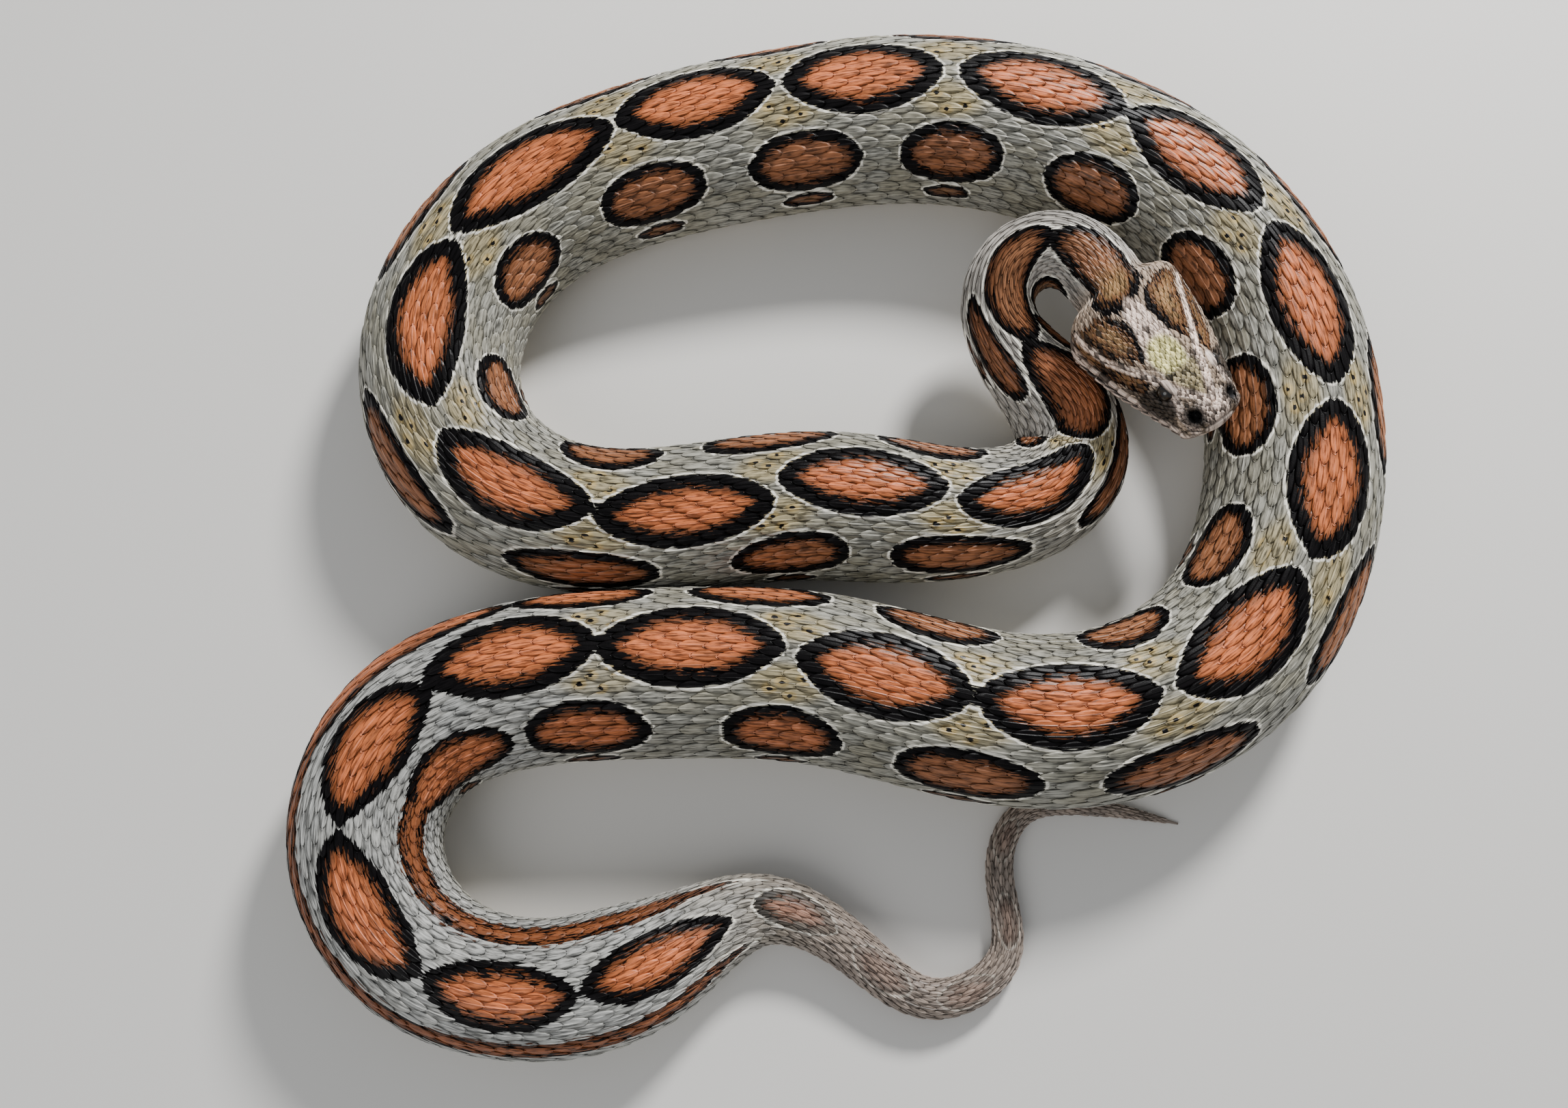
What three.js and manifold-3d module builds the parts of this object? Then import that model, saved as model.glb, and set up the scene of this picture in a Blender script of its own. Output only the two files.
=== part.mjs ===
// A Russell's viper (Daboia russelii), life size, lying in loose coils on a flat floor.
// Millimetres, +Z up, floor at z = 0, origin under the middle of the coils.
//
// The body is one tube laid along a route that runs from the back of the head to the tail tip.
// It is parted into named lengths by thin cuts. The head is a loft that carries the route on
// forwards, and its lower jaw and eye sockets are cut out of it with thin gaps.

import * as THREE from 'three';
import { mergeVertices } from 'three/addons/utils/BufferGeometryUtils.js';
import Module from 'manifold-3d';

const wasm = await Module();
wasm.setup();

// ---- the body's route and sizes -----------------------------------------------------------

const GAP = 0.3; // clear space between solids that touch

// Centreline of the body seen from above, from the back of the head to the tail tip.
const NECK_HOOK = [[68.3, 55.6], [64, 61.9], [58.5, 66.5], [52.5, 67.8], [45.3, 65], [41.5, 57.5],
  [43.6, 48.2], [59, 27]];
const FRONT_TRUNK = [[60, 15], [52, 5], [38, 0], [17, -1], [-10, 0.5], [-50, -3], [-82, -1.5]];
const LEFT_BEND = [[-105, 13], [-115, 38], [-111, 63], [-92, 88]];
const FAR_TRUNK = [[-60, 104], [-19, 114], [20, 118], [60, 111]];
const RIGHT_BEND = [[92, 93], [113, 65], [121, 31], [118, -1], [101, -36], [75, -54]];
const NEAR_TRUNK = [[40, -58], [-10, -47.3], [-50, -45.8], [-88, -49]];
const REAR_BEND = [[-116, -62], [-126, -88], [-112, -115], [-82, -125]];
const TAIL = [[-50, -117], [-24, -106], [-1, -116], [20, -128], [38, -118], [38, -94],
  [45, -81], [60, -79], [88, -84]];
const ROUTE = [...NECK_HOOK, ...FRONT_TRUNK, ...LEFT_BEND, ...FAR_TRUNK, ...RIGHT_BEND,
  ...NEAR_TRUNK, ...REAR_BEND, ...TAIL];

// Full width of the body at distances behind the head.
const WIDTHS = [[0, 21], [18, 22], [38, 22.5], [70, 31], [103, 33.5], [145, 40.5], [170, 41],
  [210, 40], [250, 42.5], [325, 45], [445, 48.5], [535, 48.5], [635, 47], [755, 45.3], [875, 44.3],
  [920, 41.5], [970, 36], [1005, 34.5], [1033, 32], [1050, 24.5], [1070, 17], [1100, 12],
  [1155, 7.8], [1195, 5.2], [1220, 0.8]];

const SQUATNESS = 0.86; // height of the resting body over its width
const BELLY_FLAT = 0.9; // the belly lies flat at this share of the half height under the axis
const NECK_LIFT = 29; // height of the belly where the neck meets the head
const NECK_RISE = 87; // length of neck that rises off the floor
const VENT = 1045; // where the tail begins
const RING_SIDES = 18;
const RING_STEPS = { neck: 5, trunk: 8, tail: 5 }; // widest spacing of the rings
const TANGENT_REACH = 0.5; // distance each way over which the body's direction is taken

// The body's lengths and where each ends, as a distance behind the head.
const LENGTHS = [['neck_1', 20], ['neck_2', 40], ['neck_3', 74], ['neck_4', 113],
  ['trunk_1', 175], ['trunk_2', 235], ['trunk_3', 285], ['trunk_4', 345], ['trunk_5', 435],
  ['trunk_6', 525], ['trunk_7', 605], ['trunk_8', 685], ['trunk_9', 760], ['trunk_10', 880],
  ['trunk_11', 940], ['trunk_12', 995], ['trunk_13', VENT], ['tail_1', 1105],
  ['tail_2', 1145], ['tail_3', 1185], ['tail_tip', Infinity]];

// ---- the head -----------------------------------------------------------------------------

const HEAD_AXIS = new THREE.Vector3(0.565, -0.825, 0).normalize(); // from the neck to the snout
const HEAD_ROLL = THREE.MathUtils.degToRad(5); // the crown leans over to the snake's right
const HEAD_LENGTH = 48;
const HEAD_SIDES = 28;
const HEAD_STEP = 3.1;

// Outline at distances ahead of the neck: [distance, half width, top, underside], with heights
// above the neck's belly. The jaws are widest behind, and the snout is blunt.
const HEAD_OUTLINE = [[0, 10.8, 18, 0], [2.5, 14, 17.9, -0.2], [5.5, 17, 17.7, 0],
  [9, 18.3, 17.6, 0.2], [13.5, 18.2, 17.7, 0.6], [18, 17.5, 17.6, 1], [23.5, 16.3, 17.3, 1.4],
  [29, 14.7, 17, 1.7], [34, 12.9, 16.8, 2.1], [39, 11.3, 16.1, 2.7],
  [42.7, 10.1, 15.2, 3.4], [46, 8.2, 13.4, 4.6], [48, 4, 10.8, 7.2]];
const LIP_HEIGHT = 6; // height of the widest part of a section, at the upper lip
const LIP_RISE = 0.05; // how much that height gains for each length ahead
const CROWN_LEAN = 0.22; // how much narrower the crown is than the lips
const SQUARE_CROWN = 2.6; // superellipse power of the head's flat-topped sections
const CROWN_START = 12; // distance over which the round neck turns into the flat crown

const EYE = { ahead: 33, aside: 7.7, height: 13.5, radius: 2.4 };
const EYE_DETAIL = 2;
const MOUTH_CUT = 60; // width of the cut, wider than the head

// Mouth line, as [distance ahead of the neck, height above the neck's belly]: down behind the
// corner of the jaw, then forwards along the lips and out past the snout.
const MOUTH_LINE = [[10, -4], [11, 3.4], [13.5, 6.4], [21, 7.6], [31, 7.5], [42, 7.2], [53, 7.4]];

// ---- colours ------------------------------------------------------------------------------

const skinFinish = colour => new THREE.MeshStandardMaterial({ color: colour, roughness: 0.6 });
const FINISHES = {
  head: skinFinish(0x9a8468),
  jaw: skinFinish(0xb8a594),
  neck: skinFinish(0x8d7f72),
  trunk: skinFinish(0x7f7868),
  tail: skinFinish(0x827a70),
  eye: new THREE.MeshStandardMaterial({ color: 0x3a2f22, roughness: 0.15 }),
};

// ---- curves -------------------------------------------------------------------------------

// Cubic spline through values at rising knots, with a given slope at its start and no bend at
// its end, as a function of the knot parameter.
function spline(knots, values, startSlope) {
  const last = knots.length - 1;
  const span = knots.slice(1).map((knot, i) => knot - knots[i]);
  const rise = span.map((width, i) => (values[i + 1] - values[i]) / width);
  const pivot = [2 * span[0]];
  const load = [6 * (rise[0] - startSlope)];
  for (let i = 1; i < last; i++) {
    const share = span[i - 1] / pivot[i - 1];
    pivot.push(2 * (span[i - 1] + span[i]) - share * span[i - 1]);
    load.push(6 * (rise[i] - rise[i - 1]) - share * load[i - 1]);
  }
  const bend = new Array(last + 1).fill(0);
  for (let i = last - 1; i >= 0; i--) {
    bend[i] = (load[i] - span[i] * bend[i + 1]) / pivot[i];
  }
  return t => {
    let i = 0;
    while (i < last - 1 && t > knots[i + 1]) i++;
    const left = knots[i + 1] - t;
    const right = t - knots[i];
    const width = span[i];
    return (bend[i] * left ** 3 + bend[i + 1] * right ** 3) / (6 * width)
      + (values[i] / width - bend[i] * width / 6) * left
      + (values[i + 1] / width - bend[i + 1] * width / 6) * right;
  };
}

// One column of a table as a spline over its first column.
const columnSpline = (table, column) =>
  spline(table.map(row => row[0]), table.map(row => row[column]), 0);

// The route as a function of the distance along it, through a table of short chords.
const CHORDS = 4000;
const routeKnots = [0];
for (let i = 1; i < ROUTE.length; i++) {
  const [fromX, fromY] = ROUTE[i - 1];
  routeKnots.push(routeKnots[i - 1] + Math.hypot(ROUTE[i][0] - fromX, ROUTE[i][1] - fromY));
}
const routeX = spline(routeKnots, ROUTE.map(point => point[0]), -HEAD_AXIS.x);
const routeY = spline(routeKnots, ROUTE.map(point => point[1]), -HEAD_AXIS.y);
const knotStep = routeKnots.at(-1) / CHORDS;
const chordEnds = [0];
for (let i = 1; i <= CHORDS; i++) {
  const dx = routeX(i * knotStep) - routeX((i - 1) * knotStep);
  const dy = routeY(i * knotStep) - routeY((i - 1) * knotStep);
  chordEnds.push(chordEnds[i - 1] + Math.hypot(dx, dy));
}
const BODY_LENGTH = chordEnds.at(-1);

function knotAt(distance) {
  let low = 0;
  let high = CHORDS;
  while (high - low > 1) {
    const middle = (low + high) >> 1;
    if (chordEnds[middle] > distance) high = middle;
    else low = middle;
  }
  const share = (distance - chordEnds[low]) / (chordEnds[high] - chordEnds[low]);
  return (low + share) * knotStep;
}

const widthAt = columnSpline(WIDTHS, 1);

function bellyHeightAt(distance) {
  return NECK_LIFT * (1 - THREE.MathUtils.smoothstep(distance, 0, NECK_RISE));
}

// ---- rings and lofts ----------------------------------------------------------------------

const UP = new THREE.Vector3(0, 0, 1);

// Belly point and directions of a cut across the body. Forwards is towards the tail, and side
// is the snake's left.
function frameAt(distance) {
  const point = at => {
    const knot = knotAt(at);
    return new THREE.Vector3(routeX(knot), routeY(knot), bellyHeightAt(at));
  };
  const before = point(Math.max(distance - TANGENT_REACH, 0));
  const after = point(Math.min(distance + TANGENT_REACH, BODY_LENGTH));
  const along = after.sub(before).normalize();
  const side = new THREE.Vector3().crossVectors(along, UP).normalize();
  const up = new THREE.Vector3().crossVectors(side, along);
  return { base: point(distance), side, up };
}

// Half height that gives a body of this half width its squat, flat-bellied section.
const halfHeight = halfWidth => 2 * SQUATNESS * halfWidth / (1 + BELLY_FLAT);

// A cut across the body: an ellipse with its underside flattened.
function bodyRing(distance) {
  const { base, side, up } = frameAt(distance);
  const halfWidth = widthAt(distance) / 2;
  const ring = [];
  for (let i = 0; i < RING_SIDES; i++) {
    const angle = 2 * Math.PI * i / RING_SIDES;
    const height = halfHeight(halfWidth) * (Math.max(Math.cos(angle), -BELLY_FLAT) + BELLY_FLAT);
    ring.push(base.clone()
      .addScaledVector(side, halfWidth * Math.sin(angle))
      .addScaledVector(up, height));
  }
  return ring;
}

// Closed solid through a row of rings, with a fan over each end.
function loft(rings) {
  const sides = rings[0].length;
  const middleOf = ring =>
    ring.reduce((sum, point) => sum.add(point), new THREE.Vector3()).divideScalar(sides);
  const points = [...rings.flat(), middleOf(rings[0]), middleOf(rings.at(-1))];
  const firstMiddle = points.length - 2;
  const lastMiddle = points.length - 1;
  const lastRing = (rings.length - 1) * sides;
  const faces = [];
  for (let i = 0; i < sides; i++) {
    const next = (i + 1) % sides;
    faces.push(firstMiddle, next, i);
    faces.push(lastMiddle, lastRing + i, lastRing + next);
    for (let start = 0; start < lastRing; start += sides) {
      const ahead = start + sides;
      faces.push(start + i, start + next, ahead + next);
      faces.push(start + i, ahead + next, ahead + i);
    }
  }
  const geometry = new THREE.BufferGeometry().setFromPoints(points);
  geometry.setIndex(faces);
  return geometry;
}

// Even distances from start to end, no more than a step apart.
function evenly(start, end, step) {
  const count = Math.ceil((end - start) / step);
  return Array.from({ length: count + 1 }, (_, i) => start + (end - start) * i / count);
}

// ---- joining and cutting ------------------------------------------------------------------

function toSolid(geometry) {
  const plain = geometry.clone();
  plain.deleteAttribute('normal');
  plain.deleteAttribute('uv');
  const merged = mergeVertices(plain);
  return new wasm.Manifold(new wasm.Mesh({
    numProp: 3,
    vertProperties: new Float32Array(merged.attributes.position.array),
    triVerts: new Uint32Array(merged.index.array),
  }));
}

function toGeometry(solid) {
  const mesh = solid.getMesh();
  const geometry = new THREE.BufferGeometry();
  geometry.setAttribute('position', new THREE.BufferAttribute(mesh.vertProperties, 3));
  geometry.setIndex(new THREE.BufferAttribute(mesh.triVerts, 1));
  return geometry;
}

// ---- the head's own frame -----------------------------------------------------------------

// Origin at the neck's belly, x towards the snout, y up and z to the snake's right.
const neckBelly = frameAt(0).base;
const HEAD_FRAME = new THREE.Matrix4()
  .makeBasis(HEAD_AXIS, UP, new THREE.Vector3().crossVectors(HEAD_AXIS, UP))
  .setPosition(neckBelly);

// The head's frame with a share of its full roll.
const rolledFrame = share =>
  HEAD_FRAME.clone().multiply(new THREE.Matrix4().makeRotationX(HEAD_ROLL * share));

const halfWidthAhead = columnSpline(HEAD_OUTLINE, 1);
const topAhead = columnSpline(HEAD_OUTLINE, 2);
const undersideAhead = columnSpline(HEAD_OUTLINE, 3);

// A cut across the head: a flat-topped superellipse whose sides lean in above the lips. At the
// neck it is the body's own ring.
function headRing(ahead) {
  const headness = THREE.MathUtils.smoothstep(ahead, 0, CROWN_START);
  const power = 2 / THREE.MathUtils.lerp(2, SQUARE_CROWN, headness);
  const halfWidth = halfWidthAhead(ahead);
  const top = topAhead(ahead);
  const underside = undersideAhead(ahead);
  const lipHeight = Math.min(LIP_HEIGHT + LIP_RISE * ahead, (top + underside) / 2);
  const middle = THREE.MathUtils.lerp(halfHeight(halfWidth) * BELLY_FLAT, lipHeight, headness);
  const flatness = THREE.MathUtils.lerp(BELLY_FLAT, 1, headness);
  const fullUnderside = middle - (middle - underside) / flatness;
  const frame = rolledFrame(headness);
  const ring = [];
  for (let i = 0; i < HEAD_SIDES; i++) {
    const angle = 2 * Math.PI * i / HEAD_SIDES;
    const aside = Math.sign(Math.sin(angle)) * Math.abs(Math.sin(angle)) ** power;
    const level = Math.sign(Math.cos(angle)) * Math.abs(Math.cos(angle)) ** power;
    const reach = level > 0 ? top - middle : middle - fullUnderside;
    const lean = 1 - CROWN_LEAN * headness * Math.max(level, 0);
    const height = Math.max(middle + level * reach, underside);
    ring.push(new THREE.Vector3(ahead, height, halfWidth * aside * lean).applyMatrix4(frame));
  }
  return ring;
}

function eyeBall(sideSign, radius) {
  return new THREE.IcosahedronGeometry(radius, EYE_DETAIL)
    .translate(EYE.ahead, EYE.height, sideSign * EYE.aside)
    .applyMatrix4(rolledFrame(1));
}

// Everything below the mouth line and ahead of the jaw's corner, raised and moved back by a gap.
function belowMouth(gap) {
  const outline = new THREE.Shape(
    MOUTH_LINE.map(([ahead, height]) => new THREE.Vector2(ahead - gap, height + gap)));
  outline.lineTo(MOUTH_LINE.at(-1)[0], MOUTH_LINE[0][1]);
  return new THREE.ExtrudeGeometry(outline, { depth: MOUTH_CUT, bevelEnabled: false })
    .translate(0, 0, -MOUTH_CUT / 2)
    .applyMatrix4(rolledFrame(1));
}

// ---- the model ----------------------------------------------------------------------------

const snake = new THREE.Group();

function add(name, geometry, finish) {
  const mesh = new THREE.Mesh(geometry, finish);
  mesh.name = name;
  snake.add(mesh);
}

const RIGHT = 1;
const LEFT = -1;

const wholeHead = toSolid(loft(evenly(GAP, HEAD_LENGTH, HEAD_STEP).map(headRing)));
const sockets = toSolid(eyeBall(RIGHT, EYE.radius + GAP))
  .add(toSolid(eyeBall(LEFT, EYE.radius + GAP)));
const upperHead = wholeHead.subtract(toSolid(belowMouth(GAP))).subtract(sockets);
const lowerJaw = wholeHead.intersect(toSolid(belowMouth(0)));

add('head', toGeometry(upperHead), FINISHES.head);
add('lower_jaw', toGeometry(lowerJaw), FINISHES.jaw);
add('eye_right', eyeBall(RIGHT, EYE.radius), FINISHES.eye);
add('eye_left', eyeBall(LEFT, EYE.radius), FINISHES.eye);

let start = 0;
for (const [name, end] of LENGTHS) {
  const [region] = name.split('_');
  const stop = Math.min(end - GAP, BODY_LENGTH);
  const distances = evenly(start, stop, RING_STEPS[region]);
  add(name, loft(distances.map(bodyRing)), FINISHES[region]);
  start = end;
}

export default snake;
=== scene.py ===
"""Looks of a life-size Russell's viper lying in loose coils: skin, scales, plates, eyes and stage.

Shapes are worked out in millimetres and turned into metres when a mesh is made. A place on the
animal is (p, g): p is the distance behind the back of the head along the body, so the head has
negative p, and g is a share of the half girth from the middle of the back, -1 to 1, with the
snake's left positive. The belly's midline is at g = 1 or -1.
"""

import math

import bpy
import numpy as np
from mathutils import Color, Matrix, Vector


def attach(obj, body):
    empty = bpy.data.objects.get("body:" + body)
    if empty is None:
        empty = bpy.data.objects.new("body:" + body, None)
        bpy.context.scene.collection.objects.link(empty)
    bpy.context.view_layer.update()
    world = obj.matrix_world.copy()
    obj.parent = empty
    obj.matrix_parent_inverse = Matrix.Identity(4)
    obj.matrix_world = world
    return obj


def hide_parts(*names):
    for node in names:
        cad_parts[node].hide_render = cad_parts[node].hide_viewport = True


bl_info = {
    "name": "Russell's viper, life size",
    "version": (1, 0, 0),
    "blender": (4, 5, 0),
    "location": "3D View > Sidebar > Viper",
    "description": "Makes the skin, scales, plates and eyes of a coiled Russell's viper",
    "category": "Object",
}

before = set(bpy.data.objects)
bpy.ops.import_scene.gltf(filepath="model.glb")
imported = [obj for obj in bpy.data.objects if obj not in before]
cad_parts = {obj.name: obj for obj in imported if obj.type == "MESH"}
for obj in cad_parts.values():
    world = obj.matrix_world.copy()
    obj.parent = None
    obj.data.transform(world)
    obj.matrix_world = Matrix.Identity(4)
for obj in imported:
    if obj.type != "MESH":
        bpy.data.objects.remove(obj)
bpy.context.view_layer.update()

MM = 0.001  # metres in a millimetre

# ---- the body's route and sizes, as in the solids ------------------------------------------

NECK_HOOK = [(68.3, 55.6), (64, 61.9), (58.5, 66.5), (52.5, 67.8), (45.3, 65), (41.5, 57.5),
             (43.6, 48.2), (59, 27)]
FRONT_TRUNK = [(60, 15), (52, 5), (38, 0), (17, -1), (-10, 0.5), (-50, -3), (-82, -1.5)]
LEFT_BEND = [(-105, 13), (-115, 38), (-111, 63), (-92, 88)]
FAR_TRUNK = [(-60, 104), (-19, 114), (20, 118), (60, 111)]
RIGHT_BEND = [(92, 93), (113, 65), (121, 31), (118, -1), (101, -36), (75, -54)]
NEAR_TRUNK = [(40, -58), (-10, -47.3), (-50, -45.8), (-88, -49)]
REAR_BEND = [(-116, -62), (-126, -88), (-112, -115), (-82, -125)]
TAIL = [(-50, -117), (-24, -106), (-1, -116), (20, -128), (38, -118), (38, -94),
        (45, -81), (60, -79), (88, -84)]
ROUTE = NECK_HOOK + FRONT_TRUNK + LEFT_BEND + FAR_TRUNK + RIGHT_BEND + NEAR_TRUNK + REAR_BEND + TAIL

# Full width of the body at distances behind the head.
WIDTHS = [(0, 21), (18, 22), (38, 22.5), (70, 31), (103, 33.5), (145, 40.5), (170, 41), (210, 40),
          (250, 42.5), (325, 45), (445, 48.5), (535, 48.5), (635, 47), (755, 45.3), (875, 44.3),
          (920, 41.5), (970, 36), (1005, 34.5), (1033, 32), (1050, 24.5), (1070, 17), (1100, 12),
          (1155, 7.8), (1195, 5.2), (1220, 0.8)]
SQUATNESS = 0.86  # height of the resting body over its width
BELLY_FLAT = 0.9  # the belly lies flat at this share of the half height under the axis
NECK_LIFT = 29  # height of the belly where the neck meets the head
NECK_RISE = 87  # length of neck that rises off the floor
VENT = 1045  # where the tail begins

UP = np.array([0, 0, 1.0])
HEAD_AXIS = np.array([0.565, -0.825, 0.0]) / math.hypot(0.565, 0.825)
HEAD_ROLL = math.radians(5)
HEAD_LENGTH = 48.0
# Outline at distances ahead of the neck: (distance, half width, top, underside).
HEAD_OUTLINE = [(0, 10.8, 18, 0), (2.5, 14, 17.9, -0.2), (5.5, 17, 17.7, 0), (9, 18.3, 17.6, 0.2),
                (13.5, 18.2, 17.7, 0.6), (18, 17.5, 17.6, 1), (23.5, 16.3, 17.3, 1.4),
                (29, 14.7, 17, 1.7), (34, 12.9, 16.8, 2.1), (39, 11.3, 16.1, 2.7),
                (42.7, 10.1, 15.2, 3.4), (46, 8.2, 13.4, 4.6), (48, 4, 10.8, 7.2)]
LIP_HEIGHT = 6  # height of the head's widest level at its back
LIP_RISE = 0.05  # how much that level rises for each mm ahead
CROWN_LEAN = 0.22  # share by which the head narrows towards the crown
SQUARE_CROWN = 2.6  # power of the head's section, where 2 is an ellipse
CROWN_START = 12  # distance over which the neck's round section turns into the head's
EYE_AHEAD, EYE_ASIDE, EYE_HEIGHT, EYE_RADIUS = 33, 7.7, 13.5, 2.4
SOCKET_REACH = 3.1  # how far the eye socket reaches from the eye's middle
MOUTH_LINE = [(11, 3.4), (13.5, 6.4), (21, 7.6), (31, 7.5), (42, 7.2), (53, 7.4)]
NOSTRIL_AHEAD, NOSTRIL_RADIUS = 42.8, 1.7
NOSTRIL_PLACES = (0.225, 0.265)  # girth shares of the right and left nostril
SNOUT_HALF_GIRTH = 28  # length of skin in mm for a girth share of 1 near the nostrils

# ---- the markings --------------------------------------------------------------------------

# Ovals along the back: (middle, half length, offset of the middle from the top of the back).
BACK_OVALS = [(3, 12, -0.075), (30, 14.5, -0.08), (63, 18, -0.03), (105, 20, -0.03),
              (150, 22, 0.04), (197, 23, -0.06), (243, 22, -0.02), (297, 24, 0), (350, 26, -0.02),
              (400, 22, -0.04), (447, 22, -0.025), (497, 23, -0.03), (543, 21.5, -0.03),
              (593, 23, -0.04), (642, 21, -0.045), (690, 22, 0), (740, 23, 0.015),
              (786, 22, 0.015), (835, 23, 0.055), (879, 21, 0.07), (919, 19, 0.02),
              (960, 19.5, 0.03), (999, 18, 0.03), (1038, 19, 0.02), (1074, 10, -0.05),
              (1100, 8, -0.02), (1124, 7, 0), (1147, 6, 0), (1168, 5, 0)]
LEFT_OVALS = [46, 85, 130, 174, 219, 272, 328, 381, 428, 474, 522, 571, 620, 670, 716, 775, 819,
              862, 905]
RIGHT_OVALS = [46, 85, 125, 170, 222, 267, 325, 376, 424, 472, 520, 568, 618, 669, 716, 762, 810,
               862, 908]
# Girth shares of the markings' middles and half widths, and their half lengths.
BACK_HALF_WIDTH = 0.168
SIDE_MIDDLE, SIDE_HALF_WIDTH, SIDE_HALF_LENGTH = 0.315, 0.116, 17
LOW_MIDDLE, LOW_HALF_WIDTH, LOW_HALF_LENGTH = 0.482, 0.04, 8  # blotches under the side ovals
# Small black pits of an olive patch: how far behind its middle, and how far from the spine.
PITS = [(1.5, 0), (-4, -1.2), (-0.8, 3.1), (4.6, 1.9)]
FAR = 12.0  # distances from a marking's edge are followed as far as this


def srgb(hex_code):
    """A colour written as sRGB hex, as the linear values that shaders take."""
    parts = [int(hex_code[i:i + 2], 16) / 255 for i in (1, 3, 5)]
    return tuple(c / 12.92 if c <= 0.04045 else ((c + 0.055) / 1.055) ** 2.4 for c in parts)


# ---- curves and surfaces -------------------------------------------------------------------

def smooth(value):
    """Smooth step from 0 to 1."""
    t = np.clip(value, 0, 1)
    return t * t * (3 - 2 * t)


def spline(knots, values, start_slope):
    """Cubic spline with a given slope at its start and no bend at its end."""
    knots = np.asarray(knots, float)
    values = np.asarray(values, float)
    count = len(knots)
    span = np.diff(knots)
    slope = np.diff(values, axis=0) / (span if values.ndim == 1 else span[:, None])
    system = np.eye(count)
    load = np.zeros_like(values)
    system[0, :2] = 2 * span[0], span[0]
    load[0] = 6 * (slope[0] - start_slope)
    for i in range(1, count - 1):
        system[i, i - 1:i + 2] = span[i - 1], 2 * (span[i - 1] + span[i]), span[i]
        load[i] = 6 * (slope[i] - slope[i - 1])
    bend = np.linalg.solve(system, load)

    def curve(t):
        t = np.asarray(t, float)
        i = np.clip(np.searchsorted(knots, t, side="right") - 1, 0, count - 2)
        left, right, width = knots[i + 1] - t, t - knots[i], span[i]
        if values.ndim > 1:
            left, right, width = left[..., None], right[..., None], width[..., None]
        return ((bend[i] * left ** 3 + bend[i + 1] * right ** 3) / (6 * width)
                + (values[i] / width - bend[i] * width / 6) * left
                + (values[i + 1] / width - bend[i + 1] * width / 6) * right)
    return curve


def column(table, index):
    """One column of a table as a spline over its first column."""
    table = np.array(table, float)
    return spline(table[:, 0], table[:, index], 0)


def lengths_along(points):
    """Length of a bent line up to each of its points."""
    steps = np.linalg.norm(np.diff(np.asarray(points, float), axis=0), axis=1)
    return np.concatenate([[0], np.cumsum(steps)])


CHORDS = 4000
route_knots = lengths_along(ROUTE)
route_at_knot = spline(route_knots, ROUTE, -HEAD_AXIS[:2])
chord_knots = np.linspace(0, route_knots[-1], CHORDS + 1)
chord_ends = lengths_along(route_at_knot(chord_knots))
BODY_LENGTH = chord_ends[-1]
width_at = column(WIDTHS, 1)

# The body's section for a half width of 1, by the share of its half girth from the top.
turn = np.linspace(0, math.pi, 721)
section_side = np.sin(turn)
section_up = 2 * SQUATNESS / (1 + BELLY_FLAT) * (np.maximum(np.cos(turn), -BELLY_FLAT) + BELLY_FLAT)
section_arc = lengths_along(np.stack([section_side, section_up], -1))
UNIT_HALF_GIRTH = section_arc[-1]
section_share = section_arc / UNIT_HALF_GIRTH
unit_dx = np.gradient(section_side, section_share)
unit_dy = np.gradient(section_up, section_share)
unit_length = np.hypot(unit_dx, unit_dy)
section_normal_side = -unit_dy / unit_length
section_normal_up = unit_dx / unit_length


def route_point(p):
    """Belly point of the body at a distance behind the head."""
    flat = route_at_knot(np.interp(p, chord_ends, chord_knots))
    lift = NECK_LIFT * (1 - smooth(p / NECK_RISE))
    return np.concatenate([flat, lift[..., None]], -1)


def wrap(g):
    """A girth share brought into -1 to 1."""
    return (g + 1) % 2 - 1


def body_point(p, g, lift):
    """Points on the body's surface, moved out by a lift."""
    along = route_point(np.minimum(p + 0.5, BODY_LENGTH)) - route_point(np.maximum(p - 0.5, 0))
    along /= np.linalg.norm(along, axis=-1, keepdims=True)
    side = np.stack([along[..., 1], -along[..., 0], np.zeros_like(p)], -1)
    side /= np.linalg.norm(side, axis=-1, keepdims=True)
    up = np.cross(side, along)
    half_width = width_at(p) / 2
    g = wrap(g)
    share, sign = np.abs(g), np.where(g < 0, -1.0, 1.0)
    x = half_width * np.interp(share, section_share, section_side)
    y = half_width * np.interp(share, section_share, section_up)
    x = x + lift * np.interp(share, section_share, section_normal_side)
    y = y + lift * np.interp(share, section_share, section_normal_up)
    return route_point(p) + side * (sign * x)[..., None] + up * y[..., None]


# The head's sections in its own unrolled frame, in a table over (distance ahead, girth share).
HEAD_ROWS, HEAD_COLUMNS = 193, 769
head_ahead = np.linspace(0, HEAD_LENGTH, HEAD_ROWS)
head_share = np.linspace(-1, 1, HEAD_COLUMNS)


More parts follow.
